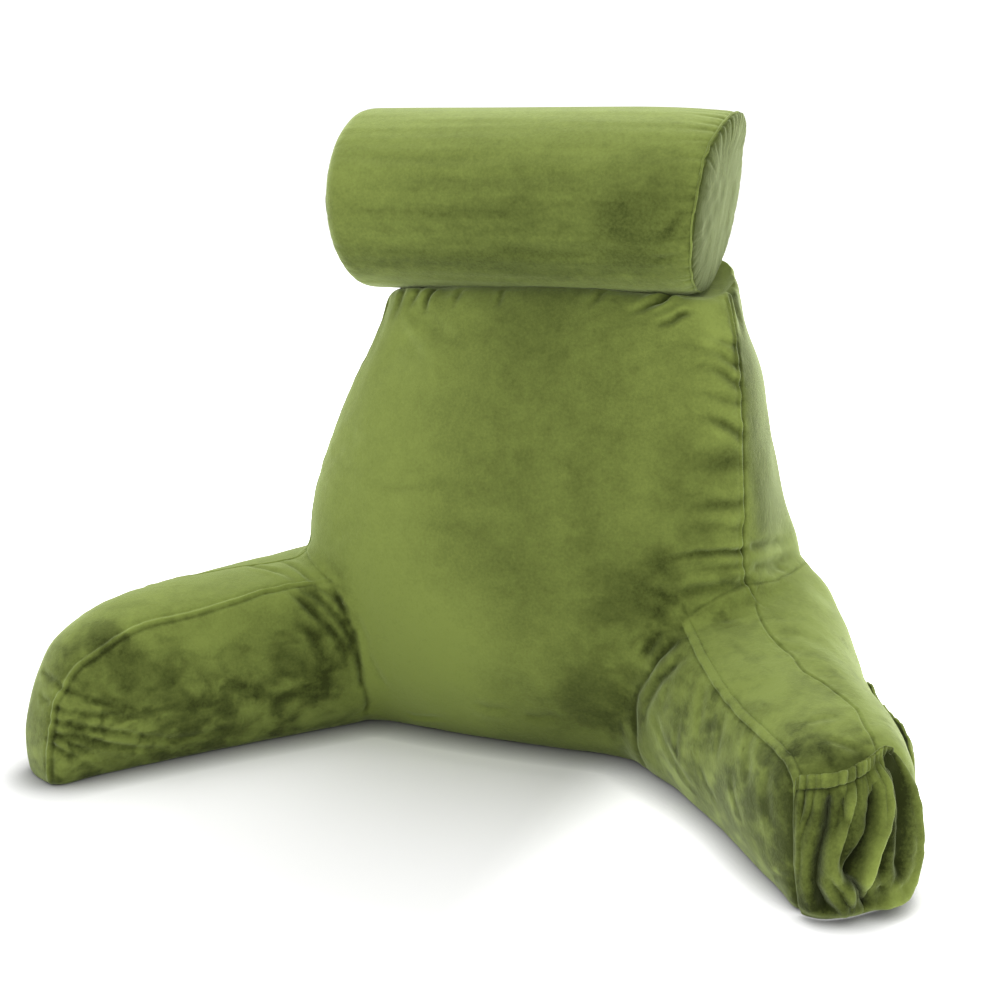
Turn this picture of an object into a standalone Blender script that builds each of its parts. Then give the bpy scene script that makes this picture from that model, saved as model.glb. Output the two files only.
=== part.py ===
"""Reading pillow with arms: a filled back with two splayed arms, a neck roll laid on
its top, and two elastic-topped pockets on the right arm.

Metres, +Z up. The front faces -Y and the right arm is at +X. The origin is the middle
of the footprint, on the surface that the pillow stands on.
"""

import math

import bmesh
import bpy
import numpy as np
from mathutils import Vector
from mathutils.bvhtree import BVHTree

# ---- the back -------------------------------------------------------------------
# Level sections. z: height. front: the panel's most forward line. seam: the line of
# the two front side seams. rear: the rear panel. left, right: the seams' places in X.
# flare: how far the rear corners stand out past the seams.
BACK_COLUMNS = ("z", "front", "seam", "rear", "left", "right", "flare")
BACK = (
    (-0.012, 0.044, 0.060, 0.186, -0.226, 0.226, 0.030),
    (0.000, 0.022, 0.044, 0.197, -0.240, 0.240, 0.030),
    (0.025, -0.002, 0.036, 0.205, -0.251, 0.251, 0.030),
    (0.070, -0.026, 0.030, 0.211, -0.260, 0.262, 0.030),
    (0.130, -0.043, 0.026, 0.213, -0.266, 0.270, 0.029),
    (0.190, -0.050, 0.022, 0.212, -0.271, 0.274, 0.022),
    (0.250, -0.050, 0.018, 0.209, -0.267, 0.274, 0.006),
    (0.310, -0.042, 0.016, 0.205, -0.252, 0.269, -0.011),
    (0.370, -0.028, 0.018, 0.201, -0.228, 0.260, -0.022),
    (0.430, -0.010, 0.024, 0.197, -0.200, 0.252, -0.028),
    (0.480, 0.008, 0.032, 0.194, -0.179, 0.239, -0.037),
    (0.515, 0.020, 0.040, 0.193, -0.173, 0.227, -0.042),
    (0.538, 0.038, 0.060, 0.192, -0.172, 0.220, -0.044),
    (0.551, 0.070, 0.094, 0.188, -0.160, 0.207, -0.042),
    (0.557, 0.112, 0.126, 0.178, -0.138, 0.186, -0.036),
)
CROWN_POWER = 0.72  # under 1 the front panel is fuller near its seams
SIDE_BULGE = 0.010  # the side panels, past the line from seam to rear corner
REAR_BULGE = 0.012

# ---- the arms -------------------------------------------------------------------
# Upright sections from the root inside the back to the tip. X is positive on both arms,
# and the left one is mirrored. in_x, in_y and out_x, out_y: the inner and the outer foot
# of the section. top_in, top_out: the height of the top at each side.
ARM_COLUMNS = ("in_x", "in_y", "out_x", "out_y", "top_in", "top_out")
LEFT_ARM = (
    (0.070, 0.120, 0.285, 0.206, 0.130, 0.130),
    (0.104, 0.080, 0.325, 0.178, 0.186, 0.184),
    (0.140, 0.038, 0.352, 0.130, 0.196, 0.191),
    (0.168, 0.012, 0.368, 0.086, 0.196, 0.190),
    (0.202, -0.024, 0.383, 0.040, 0.194, 0.188),
    (0.242, -0.068, 0.400, -0.010, 0.191, 0.187),
    (0.282, -0.112, 0.416, -0.062, 0.187, 0.186),
    (0.322, -0.158, 0.436, -0.112, 0.181, 0.184),
    (0.359, -0.203, 0.454, -0.156, 0.169, 0.176),
    (0.388, -0.238, 0.468, -0.192, 0.151, 0.161),
    (0.406, -0.262, 0.477, -0.218, 0.125, 0.137),
    (0.417, -0.276, 0.481, -0.235, 0.094, 0.104),
    (0.423, -0.283, 0.479, -0.247, 0.058, 0.066),
)
RIGHT_ARM = (
    (0.070, 0.120, 0.285, 0.206, 0.140, 0.140),
    (0.102, 0.075, 0.328, 0.178, 0.200, 0.220),
    (0.131, 0.024, 0.354, 0.130, 0.206, 0.222),
    (0.153, -0.012, 0.371, 0.086, 0.194, 0.204),
    (0.184, -0.042, 0.387, 0.040, 0.180, 0.186),
    (0.223, -0.086, 0.404, -0.010, 0.166, 0.176),
    (0.263, -0.128, 0.421, -0.062, 0.157, 0.172),
    (0.298, -0.174, 0.440, -0.108, 0.151, 0.169),
    (0.328, -0.214, 0.454, -0.144, 0.146, 0.165),
    (0.352, -0.242, 0.464, -0.168, 0.140, 0.159),
    (0.371, -0.257, 0.469, -0.186, 0.130, 0.149),
    (0.386, -0.265, 0.467, -0.201, 0.109, 0.123),
    (0.401, -0.263, 0.457, -0.216, 0.075, 0.083),
)
ARM_SQUARENESS = 3.4  # 2 is an oval section, and more is squarer
ARM_SINK = 0.014  # how far a section reaches below the floor before it is cut flat
INNER_BULGE = 0.010  # the inner panels, past the line between the feet

# ---- the neck roll --------------------------------------------------------------
ROLL_AXIS_Y = 0.079
ROLL_AXIS_Z = 0.616
ROLL_RADIUS = 0.0992
ROLL_SEAM_RADIUS = 0.0945
ROLL_SEAM_X = 0.2020  # the end seams, from the middle
ROLL_HALF_LENGTH = 0.2255  # with the domed ends
ROLL_SLUMP = 0.20  # the right end leans out at its top, by this share of the height
ROLL_SLUMP_ABOUT = 0.020  # above the axis
WELT_RADIUS = 0.0022
TROUGH_GAP = 0.0012  # between the roll and the back's top, which it presses down

# ---- the pockets on the right arm -------------------------------------------------
CLOTH = 0.0025
# The end pocket goes round the arm's end from one upright seam to the other. Angles are
# in plan, from the arm's own direction, and positive on the outer side.
END_CENTRE = (0.3850, -0.1800)
END_DIRECTION = math.radians(-48.0)
END_FROM, END_TO = math.radians(-58.0), math.radians(36.0)
END_FOOT = 0.0035
# share: the way along the mouth. top: its height. stand: how far it stands off.
MOUTH_COLUMNS = ("share", "top", "stand")
END_MOUTH = (
    (0.00, 0.118, 0.0035),
    (0.20, 0.121, 0.0150),
    (0.45, 0.124, 0.0190),
    (0.70, 0.134, 0.0155),
    (0.86, 0.140, 0.0085),
    (1.00, 0.132, 0.0035),
)
END_FOLDS, END_FOLD_DEPTH, END_BAG = 6.0, 0.0045, 0.0150
END_SHOULDER = 0.098  # the pocket stands straight up above this height

# The side pocket lies on the outer side panel.
SIDE_FROM, SIDE_TO = (0.3980, 0.0200), (0.4600, -0.1500)
SIDE_FOOT = 0.012
SIDE_SHOULDER = 0.112
SIDE_MOUTH = (
    (0.00, 0.118, 0.0030),
    (0.22, 0.128, 0.0125),
    (0.48, 0.130, 0.0060),
    (0.74, 0.128, 0.0125),
    (1.00, 0.112, 0.0030),
)

# ---- colours --------------------------------------------------------------------
PLUSH = (0.200, 0.282, 0.058, 1.0)
PLUSH_LIGHT = (0.240, 0.330, 0.085, 1.0)
PLUSH_DEEP = (0.165, 0.235, 0.045, 1.0)

ROUND = 40  # sides of the turned pieces
COVER_VOXEL = 0.0095
COVER_SHARE = 0.142  # of the remeshed triangles that are kept


def rows(columns, table):
    return [dict(zip(columns, row)) for row in table]


def interpolated(columns, table, key, at):
    """The table's values at a place of its key column, on straight lines between rows."""
    places = [row[columns.index(key)] for row in table]
    return {
        name: float(np.interp(at, places, [row[i] for row in table]))
        for i, name in enumerate(columns)
    }


def smooth_rows(columns, table, parts):
    """More rows between a table's own, on a Catmull-Rom curve through them."""
    points = np.array(table, float)
    padded = np.vstack([2 * points[0] - points[1], points, 2 * points[-1] - points[-2]])
    found = []
    for i in range(len(points) - 1):
        a, b, c, d = padded[i : i + 4]
        for t in np.arange(parts) / parts:
            found.append(
                0.5 * (2 * b + (c - a) * t + (2 * a - 5 * b + 4 * c - d) * t**2
                       + (3 * b - a - 3 * c + d) * t**3)
            )
    found.append(points[-1])
    return rows(columns, found)


def loft(name, sections):
    """A closed body through rings of the same number of points, its ends filled."""
    mesh = bmesh.new()
    rings = [[mesh.verts.new(p) for p in ring] for ring in sections]
    count = len(rings[0])
    for low, high in zip(rings, rings[1:]):
        for i in range(count):
            j = (i + 1) % count
            mesh.faces.new((low[i], low[j], high[j], high[i]))
    for ring in (rings[0], rings[-1]):
        middle = mesh.verts.new(sum((v.co for v in ring), Vector()) / count)
        for i in range(count):
            mesh.faces.new((ring[i], ring[(i + 1) % count], middle))
    bmesh.ops.recalc_face_normals(mesh, faces=mesh.faces)
    data = bpy.data.meshes.new(name)
    mesh.to_mesh(data)
    mesh.free()
    return bpy.data.objects.new(name, data)


def eased(ring, times):
    """A ring with its corners rounded, each point drawn towards its neighbours."""
    ring = np.array(ring, float)
    for _ in range(times):
        ring = 0.5 * ring + 0.25 * (np.roll(ring, 1, axis=0) + np.roll(ring, -1, axis=0))
    return ring


def back_ring(row):
    """A level section of the back: crowned front, side panels, and a flatter rear."""
    middle, half = (row["left"] + row["right"]) / 2, (row["right"] - row["left"]) / 2
    rear_half = half + row["flare"]
    ring = []
    for t in np.linspace(-1, 1, 22, endpoint=False):
        y = row["seam"] + (row["front"] - row["seam"]) * (1 - t * t) ** CROWN_POWER
        ring.append((middle + half * t, y, row["z"]))
    depth = row["rear"] - row["seam"]
    bulge = SIDE_BULGE * min(1.0, depth / 0.15)
    for t in np.linspace(0, 1, 9, endpoint=False):
        x = half + (rear_half - half) * t**2 + bulge * math.sin(math.pi * t)
        ring.append((middle + x, row["seam"] + depth * t, row["z"]))
    for t in np.linspace(1, -1, 18, endpoint=False):
        y = row["rear"] + REAR_BULGE * (1 - t * t) * min(1.0, depth / 0.15)
        ring.append((middle + rear_half * t, y, row["z"]))
    for t in np.linspace(1, 0, 9, endpoint=False):
        x = half + (rear_half - half) * t**2 + bulge * math.sin(math.pi * t)
        ring.append((middle - x, row["seam"] + depth * t, row["z"]))
    return eased(ring, 3)


def arm_ring(row, side):
    """An upright section of an arm. side is 1 on the right and -1 on the left."""
    inner = np.array((row["in_x"], row["in_y"]))
    outer = np.array((row["out_x"], row["out_y"]))
    across = outer - inner
    width = np.linalg.norm(across)
    across /= width
    ring = []
    for angle in np.linspace(0, 2 * math.pi, 40, endpoint=False):
        c, s = math.cos(angle), math.sin(angle)
        u = 0.5 + 0.5 * math.copysign(abs(c) ** (2 / ARM_SQUARENESS), c)
        w = 0.5 + 0.5 * math.copysign(abs(s) ** (2 / ARM_SQUARENESS), s)
        top = row["top_in"] + (row["top_out"] - row["top_in"]) * u
        z = -ARM_SINK + (top + ARM_SINK) * w
        foot = inner + across * (width * u - INNER_BULGE * (1 - u) ** 2 * math.sin(math.pi * w))
        ring.append((side * foot[0], foot[1], z))
    return ring


def modifier(obj, kind, **settings):
    made = obj.modifiers.new(kind.title(), kind)
    for key, value in settings.items():
        setattr(made, key, value)
    return made


def evaluated_copy(obj, name):
    """The object's mesh with its modifiers applied, as a new object."""
    graph = bpy.context.evaluated_depsgraph_get()
    data = bpy.data.meshes.new_from_object(obj.evaluated_get(graph))
    data.name = name
    return bpy.data.objects.new(name, data)


def pressed_by_roll(data):
    """Moves the points that lie inside the roll straight out to its surface."""
    reach = ROLL_RADIUS + TROUGH_GAP
    for vertex in data.vertices:
        away = Vector((vertex.co.y - ROLL_AXIS_Y, vertex.co.z - ROLL_AXIS_Z))
        if away.length < reach and abs(vertex.co.x) < ROLL_HALF_LENGTH + 0.01:
            past = max(0.0, abs(vertex.co.x) - ROLL_SEAM_X) / (ROLL_HALF_LENGTH + 0.01 - ROLL_SEAM_X)
            here = reach * (1 - 0.35 * past**2)
            if away.length < here:
                away.normalize()
                vertex.co.y = ROLL_AXIS_Y + away.x * here
                vertex.co.z = ROLL_AXIS_Z + away.y * here


def make_cover(parts, guides):
    """The back and arms as one filled body with a flat base."""
    back = loft("back_form", [back_ring(row) for row in smooth_rows(BACK_COLUMNS, BACK, 2)])
    arms = [
        loft("arm_form", [arm_ring(row, side) for row in smooth_rows(ARM_COLUMNS, table, 2)])
        for side, table in ((-1, LEFT_ARM), (1, RIGHT_ARM))
    ]
    for form in (back, *arms):
        guides.objects.link(form)
        form.hide_render = True
        form.display_type = "WIRE"
    for arm in arms:
        modifier(back, "BOOLEAN", operation="UNION", object=arm, solver="EXACT")
    modifier(back, "REMESH", mode="VOXEL", voxel_size=COVER_VOXEL, adaptivity=0.0)
    modifier(back, "SMOOTH", factor=0.5, iterations=3)
    cover = evaluated_copy(back, "pillow_body")
    parts.objects.link(cover)
    pressed_by_roll(cover.data)
    modifier(cover, "SMOOTH", factor=0.5, iterations=1)
    modifier(cover, "DECIMATE", ratio=COVER_SHARE)
    body = evaluated_copy(cover, "pillow_body_solid")
    parts.objects.unlink(cover)
    bpy.data.objects.remove(cover)
    body.name = "pillow_body"
    parts.objects.link(body)
    pressed_by_roll(body.data)
    mesh = bmesh.new()
    mesh.from_mesh(body.data)
    everything = mesh.verts[:] + mesh.edges[:] + mesh.faces[:]
    cut = bmesh.ops.bisect_plane(
        mesh, geom=everything, plane_co=(0, 0, 0), plane_no=(0, 0, 1), clear_inner=True
    )
    rim = [e for e in cut["geom_cut"] if isinstance(e, bmesh.types.BMEdge)]
    bmesh.ops.holes_fill(mesh, edges=rim, sides=0)
    bmesh.ops.triangulate(mesh, faces=[f for f in mesh.faces if len(f.verts) > 3])
    bmesh.ops.recalc_face_normals(mesh, faces=mesh.faces)
    mesh.to_mesh(body.data)
    mesh.free()
    return body


def roll_profile():
    """Half the roll's profile as (x, radius) from the axis to the axis, with a groove
    at each end seam for its welt."""
    groove = WELT_RADIUS + 0.0006
    floor = ROLL_SEAM_RADIUS - WELT_RADIUS - 0.0008
    half = [(ROLL_HALF_LENGTH, 0.0)]
    for t in (0.35, 0.65, 0.88, 1.0):
        fall = math.sqrt(max(0.0, 1 - (t * 0.97) ** 2))
        x = ROLL_SEAM_X + groove + (ROLL_HALF_LENGTH - ROLL_SEAM_X - groove) * fall
        half.append((x, (ROLL_SEAM_RADIUS + 0.0005) * t))
    half += [(ROLL_SEAM_X + groove, floor), (ROLL_SEAM_X - groove, floor)]
    for t in (0.0, 0.06, 0.16, 0.34, 0.65):
        x = (ROLL_SEAM_X - groove - 0.0004) * (1 - t)
        radius = ROLL_SEAM_RADIUS + (ROLL_RADIUS - ROLL_SEAM_RADIUS) * (1 - (1 - t) ** 6)
        half.append((x, radius))
    return half + [(-x, r) for x, r in reversed(half)]


def slumped(data):
    """Leans the right end of a mesh given about the roll's middle: out at its top."""
    for vertex in data.vertices:
        share = max(0.0, vertex.co.x / ROLL_HALF_LENGTH)
        vertex.co.x += ROLL_SLUMP * (vertex.co.z - ROLL_SLUMP_ABOUT) * share**5


def placed_on_back(obj, name, parts):
    """The turned object as a plain mesh along X, slumped and set on the back."""
    made = evaluated_copy(obj, name + "_mesh")
    made.data.transform(obj.matrix_world)
    mesh = bmesh.new()
    mesh.from_mesh(made.data)
    bmesh.ops.remove_doubles(mesh, verts=mesh.verts, dist=0.00002)
    bmesh.ops.recalc_face_normals(mesh, faces=mesh.faces)
    mesh.to_mesh(made.data)
    mesh.free()
    slumped(made.data)
    bpy.data.objects.remove(obj)
    made.name = name
    made.location = (0.0, ROLL_AXIS_Y, ROLL_AXIS_Z)
    parts.objects.link(made)
    return made


def make_roll(parts):
    """The filled roll, turned about its own axis."""
    data = bpy.data.meshes.new("roll_form")
    mesh = bmesh.new()
    points = [mesh.verts.new((radius, 0.0, x)) for x, radius in roll_profile()]
    for a, b in zip(points, points[1:]):
        mesh.edges.new((a, b))
    mesh.to_mesh(data)
    mesh.free()
    form = bpy.data.objects.new("roll_form", data)
    modifier(
        form, "SCREW", axis="Z", steps=ROUND, render_steps=ROUND, use_merge_vertices=True,
        merge_threshold=0.00005, use_smooth_shade=True,
    )
    form.rotation_euler = (0.0, math.radians(90.0), 0.0)
    parts.objects.link(form)
    bpy.context.view_layer.update()
    return placed_on_back(form, "neck_roll", parts)


def make_welt(parts, side):
    bpy.ops.mesh.primitive_torus_add(
        major_radius=ROLL_SEAM_RADIUS, minor_radius=WELT_RADIUS,
        major_segments=ROUND, minor_segments=6,
        location=(side * ROLL_SEAM_X, 0.0, 0.0),
        rotation=(0.0, math.radians(90.0), 0.0),
    )
    bpy.context.view_layer.update()
    name = "neck_roll_welt_" + ("right" if side > 0 else "left")
    return placed_on_back(bpy.context.object, name, parts)


def sheet_solid(name, grid, outward, parts):
    """A sheet of the cloth's thickness from a grid of points on its inner face."""
    mesh = bmesh.new()
    made = [[mesh.verts.new(p) for p in line] for line in grid]
    for low, high in zip(made, made[1:]):
        for i in range(len(low) - 1):
            mesh.faces.new((low[i], low[i + 1], high[i + 1], high[i]))
    bmesh.ops.recalc_face_normals(mesh, faces=mesh.faces)
    mesh.faces.ensure_lookup_table()
    middle = mesh.faces[len(mesh.faces) // 2]
    if middle.normal.dot(Vector(outward)) < 0:
        bmesh.ops.reverse_faces(mesh, faces=mesh.faces)
    data = bpy.data.meshes.new(name)
    mesh.to_mesh(data)
    mesh.free()
    obj = bpy.data.objects.new(name, data)
    parts.objects.link(obj)
    modifier(obj, "SOLIDIFY", thickness=CLOTH, offset=1.0, use_even_offset=False)
    return obj


def end_pocket_grid(tree):
    """The gathered pocket: points round the arm's end, by angle, and up from its foot."""
    across, up = 26, 11
    grid = []
    for j in range(up + 1):
        v = j / up
        line = []
        for i in range(across + 1):
            u = i / across
            mouth = interpolated(MOUTH_COLUMNS, END_MOUTH, "share", u)
            angle = END_DIRECTION + END_FROM + (END_TO - END_FROM) * u
            way = Vector((math.cos(angle), math.sin(angle), 0.0))
            z = END_FOOT + (mouth["top"] - END_FOOT) * v
            probe = min(max(z, 0.012), END_SHOULDER)
            place, _, _, _ = tree.ray_cast(Vector((*END_CENTRE, probe)) + way * 0.5, -way)
            edge = math.sin(math.pi * u) ** 0.5
            sag = math.sin(math.pi * v**0.55) ** 0.8  # fullest low down, and sewn in at the foot
            wave = math.sin(2 * math.pi * END_FOLDS * u + 1.6 * math.sin(3.0 * v + 5.0 * u))
            fold = END_FOLD_DEPTH * edge * sag * (1 + wave)
            off = 0.0034 + mouth["stand"] * v**1.5 + END_BAG * edge * sag + fold
            line.append(Vector((place.x, place.y, z)) + way * off)
        grid.append(line)
    return grid


def side_pocket_grid(tree):
    """The side pocket: points along the outer side panel, and up from its foot."""
    along, up = 14, 6
    start, stop = Vector((*SIDE_FROM, 0.0)), Vector((*SIDE_TO, 0.0))
    way = Vector((-(stop - start).y, (stop - start).x, 0.0)).normalized()
    grid = []
    for j in range(up + 1):
        v = j / up
        line = []
        for i in range(along + 1):
            u = i / along
            mouth = interpolated(MOUTH_COLUMNS, SIDE_MOUTH, "share", u)
            z = SIDE_FOOT + (mouth["top"] - SIDE_FOOT) * v
            foot = start.lerp(stop, u) + Vector((0.0, 0.0, z))
            foot.z = min(z, SIDE_SHOULDER)
            place, _, _, _ = tree.ray_cast(foot + way * 0.3, -way)
            off = 0.0034 + (mouth["stand"] - 0.0030) * v**2
            line.append(Vector((place.x, place.y, z)) + way * off)
        grid.append(line)
    return grid


def finish_colour(obj, name, colour, roughness):
    material = bpy.data.materials.new(name)
    material.use_nodes = True
    shader = material.node_tree.nodes["Principled BSDF"]
    shader.inputs["Base Color"].default_value = colour
    shader.inputs["Roughness"].default_value = roughness
    shader.inputs["Metallic"].default_value = 0.0
    obj.data.materials.clear()
    obj.data.materials.append(material)
    obj.data.shade_smooth()


def world_corners(objects):
    graph = bpy.context.evaluated_depsgraph_get()
    low, high = np.full(3, np.inf), np.full(3, -np.inf)
    for obj in objects:
        evaluated = obj.evaluated_get(graph)
        mesh = evaluated.to_mesh()
        points = np.array([evaluated.matrix_world @ v.co for v in mesh.vertices])
        evaluated.to_mesh_clear()
        low, high = np.minimum(low, points.min(axis=0)), np.maximum(high, points.max(axis=0))
    return low, high


def main():
    for obj in list(bpy.data.objects):
        bpy.data.objects.remove(obj)
    parts = bpy.data.collections.new("reading_pillow")
    guides = bpy.data.collections.new("guides")
    for collection in (parts, guides):
        bpy.context.scene.collection.children.link(collection)
    guides.hide_render = True

    body = make_cover(parts, guides)
    roll = make_roll(parts)
    welts = [make_welt(parts, side) for side in (-1, 1)]
    tree = BVHTree.FromPolygons(
        [v.co.copy() for v in body.data.vertices],
        [tuple(p.vertices) for p in body.data.polygons],
    )
    end_way = (math.cos(END_DIRECTION), math.sin(END_DIRECTION), 0.0)
    end = sheet_solid("end_pocket", end_pocket_grid(tree), end_way, parts)
    side = sheet_solid("side_pocket", side_pocket_grid(tree), (1.0, 0.3, 0.0), parts)

    finish_colour(body, "plush_cover", PLUSH, 0.9)
    finish_colour(roll, "plush_roll", PLUSH_LIGHT, 0.9)
    for welt in welts:
        finish_colour(welt, "plush_welt", PLUSH, 0.9)
    for pocket in (end, side):
        finish_colour(pocket, "plush_pocket", PLUSH_DEEP, 0.9)

    # The footprint's middle goes to the origin.
    bpy.context.view_layer.update()
    pieces = [body, roll, *welts, end, side]
    low, high = world_corners(pieces)
    for piece in pieces:
        piece.location.x -= (low[0] + high[0]) / 2
        piece.location.y -= (low[1] + high[1]) / 2


main()
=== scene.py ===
"""The looks of the reading pillow with arms: a plush cover with its seams, puckers and
folds, the neck roll with its gathered ends, and the two elastic-topped pockets.

Metres, +Z up. The tables use the pillow's own working frame, in which Y = 0 is the line
between the two creases where the arms leave the back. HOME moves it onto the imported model.
"""

import math
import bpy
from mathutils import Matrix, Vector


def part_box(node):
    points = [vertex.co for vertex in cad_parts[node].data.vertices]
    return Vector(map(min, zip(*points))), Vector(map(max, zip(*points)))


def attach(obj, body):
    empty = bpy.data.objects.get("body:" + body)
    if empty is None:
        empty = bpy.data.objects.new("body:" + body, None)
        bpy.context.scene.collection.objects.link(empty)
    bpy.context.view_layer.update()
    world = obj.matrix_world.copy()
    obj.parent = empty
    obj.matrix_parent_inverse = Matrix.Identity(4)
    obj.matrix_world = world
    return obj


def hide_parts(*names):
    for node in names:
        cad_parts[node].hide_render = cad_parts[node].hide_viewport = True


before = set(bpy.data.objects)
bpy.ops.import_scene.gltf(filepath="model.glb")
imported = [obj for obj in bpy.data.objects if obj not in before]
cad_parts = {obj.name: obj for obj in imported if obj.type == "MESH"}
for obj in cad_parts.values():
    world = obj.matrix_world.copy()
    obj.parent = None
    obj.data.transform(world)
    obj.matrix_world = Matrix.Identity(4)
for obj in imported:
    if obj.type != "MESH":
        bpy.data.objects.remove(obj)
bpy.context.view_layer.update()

import bmesh
import bpy
import numpy as np
from mathutils import Matrix, Vector
from mathutils.bvhtree import BVHTree

scene = bpy.context.scene

# ---- where things are ---------------------------------------------------------------
ROLL_AXIS_Y, ROLL_AXIS_Z = 0.079, 0.616
ROLL_SEAM_X, ROLL_HALF = 0.2020, 0.2255
ROLL_RADIUS, ROLL_SEAM_RADIUS = 0.0992, 0.0945
ROLL_SLUMP, ROLL_SLUMP_ABOUT = 0.20, 0.020  # the right end leans out at its top

_low, _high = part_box("neck_roll")
HOME = Vector((_low.x + ROLL_HALF, (_low.y + _high.y) / 2 - ROLL_AXIS_Y, 0.0))

# The arms run from these crease points along ARM_WAY, with ARM_OUT square to it.
CREASE_X = 0.1676
ARM_WAY = np.array((0.6684, -0.7438))
ARM_OUT = np.array((0.7438, 0.6684))


END_CENTRE = (0.3850, -0.1800)  # inside the right arm's end, where the pocket's angles start


def arm_point(side, s, off, z):
    """A place by its way along the arm, its distance outwards and its height."""
    x = CREASE_X + ARM_WAY[0] * s + ARM_OUT[0] * off
    y = ARM_WAY[1] * s + ARM_OUT[1] * off
    return Vector((side * x, y, z))


# ---- mesh helpers -------------------------------------------------------------------
def coords(mesh):
    found = np.empty(len(mesh.vertices) * 3, np.float32)
    mesh.vertices.foreach_get("co", found)
    return found.reshape(-1, 3).astype(float)


def normals(mesh):
    found = np.empty(len(mesh.vertices) * 3, np.float32)
    mesh.vertex_normals.foreach_get("vector", found)
    return found.reshape(-1, 3).astype(float)


def set_coords(mesh, places):
    mesh.vertices.foreach_set("co", np.asarray(places, np.float32).ravel())
    mesh.update()


def new_object(name, mesh):
    made = bpy.data.objects.new(name, mesh)
    scene.collection.objects.link(made)
    return made


def modified(obj, kind, **settings):
    """Adds one modifier and applies it."""
    made = obj.modifiers.new(kind.title(), kind)
    for key, value in settings.items():
        setattr(made, key, value)
    graph = bpy.context.evaluated_depsgraph_get()
    mesh = bpy.data.meshes.new_from_object(obj.evaluated_get(graph))
    old = obj.data
    obj.modifiers.clear()
    obj.data = mesh
    mesh.name = obj.name
    bpy.data.meshes.remove(old)
    return obj


def tree_of(obj):
    return BVHTree.FromPolygons(
        [v.co.copy() for v in obj.data.vertices], [tuple(p.vertices) for p in obj.data.polygons]
    )


def spline(points, step=0.002):
    """Points a step apart along a Catmull-Rom curve through the given ones."""
    points = np.array([tuple(p) for p in points], float)
    if len(points) == 2:
        count = max(2, int(np.linalg.norm(points[1] - points[0]) / step))
        return points[0] + (points[1] - points[0]) * np.linspace(0, 1, count + 1)[:, None]
    padded = np.vstack([2 * points[0] - points[1], points, 2 * points[-1] - points[-2]])
    found = []
    for i in range(len(points) - 1):
        a, b, c, d = padded[i : i + 4]
        count = max(2, int(np.linalg.norm(c - b) / step))
        for t in np.arange(count) / count:
            found.append(0.5 * (2 * b + (c - a) * t + (2 * a - 5 * b + 4 * c - d) * t**2
                                + (3 * b - a - 3 * c + d) * t**3))
    found.append(points[-1])
    return np.array(found)


def near_line(places, line, reach):
    """For the places within reach of a line: their indices, distances, way along the line
    in metres, the offset vectors from the line, and the line's directions there."""
    low, high = line.min(axis=0) - reach, line.max(axis=0) + reach
    inside = np.where(((places >= low) & (places <= high)).all(axis=1))[0]
    if len(inside) == 0:
        return None
    way = np.concatenate([[0.0], np.cumsum(np.linalg.norm(np.diff(line, axis=0), axis=1))])
    start, run = line[:-1], np.diff(line, axis=0)
    size = (run**2).sum(axis=1) + 1e-18
    best = np.full(len(inside), np.inf)
    along = np.zeros(len(inside))
    offset = np.zeros((len(inside), 3))
    direction = np.zeros((len(inside), 3))
    for first in range(0, len(inside), 4000):
        part = slice(first, first + 4000)
        p = places[inside[part]]
        to = p[:, None, :] - start[None]
        t = np.clip((to * run).sum(axis=2) / size, 0, 1)
        gap = to - t[..., None] * run[None]
        square = (gap**2).sum(axis=2)
        k = square.argmin(axis=1)
        row = np.arange(len(p))
        best[part] = np.sqrt(square[row, k])
        along[part] = way[k] + t[row, k] * np.sqrt(size[k])
        offset[part] = gap[row, k]
        direction[part] = run[k] / np.sqrt(size[k])[:, None]
    near = best < reach
    return inside[near], best[near], along[near], offset[near], direction[near], way[-1]


def lattice(ix, iy, iz, seed):
    """A fixed pseudo-random value from -1 to 1 for each whole-number place."""
    h = (ix * 374761393 + iy * 668265263 + iz * 1442695041 + seed * 974634777) & 0xFFFFFFFF
    h = ((h ^ (h >> 13)) * 1274126177) & 0xFFFFFFFF
    h = (h ^ (h >> 16)) & 0xFFFFFFFF
    return h / 4294967295.0 * 2 - 1


def wave_noise(places, size, seed):
    """Smooth noise from about -1 to 1 with features of the given size, one for all axes
    or three."""
    at = np.asarray(places, float) / np.asarray(size, float) + seed * 17.31
    whole = np.floor(at).astype(np.int64)
    part = at - whole
    part = part**3 * (part * (part * 6 - 15) + 10)
    total = 0.0
    for dx in (0, 1):
        for dy in (0, 1):
            for dz in (0, 1):
                weight = 1.0
                for axis, step in enumerate((dx, dy, dz)):
                    weight = weight * (part[:, axis] if step else 1 - part[:, axis])
                total = total + weight * lattice(
                    whole[:, 0] + dx, whole[:, 1] + dy, whole[:, 2] + dz, seed
                )
    return total * 1.35


def line_noise(along, size, seed):
    """Smooth noise along a line."""
    flat = np.zeros((len(along), 3))
    flat[:, 0] = along
    flat[:, 1] = seed * 0.37 * size
    return wave_noise(flat, size, seed)


def smooth_step(x):
    x = np.clip(x, 0, 1)
    return x * x * (3 - 2 * x)


def bell(x, width):
    return np.exp(-((x / width) ** 2))


# ---- the cover's base form --------------------------------------------------------------
COVER_VOXEL = 0.0084
SWELL_FROM = 0.0022  # the form starts this much smaller and is blown up
SWELL_CAP = 0.0055


def base_cover():
    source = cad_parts["pillow_body"]
    mesh = source.data.copy()
    mesh.transform(Matrix.Translation(-HOME))
    mesh.materials.clear()
    made = new_object("cover", mesh)
    clean = bmesh.new()
    clean.from_mesh(mesh)
    bmesh.ops.remove_doubles(clean, verts=clean.verts, dist=0.00001)
    clean.to_mesh(mesh)
    clean.free()
    modified(made, "REMESH", mode="VOXEL", voxel_size=COVER_VOXEL, adaptivity=0.0)
    modified(made, "SMOOTH", factor=0.5, iterations=6)
    return made


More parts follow.
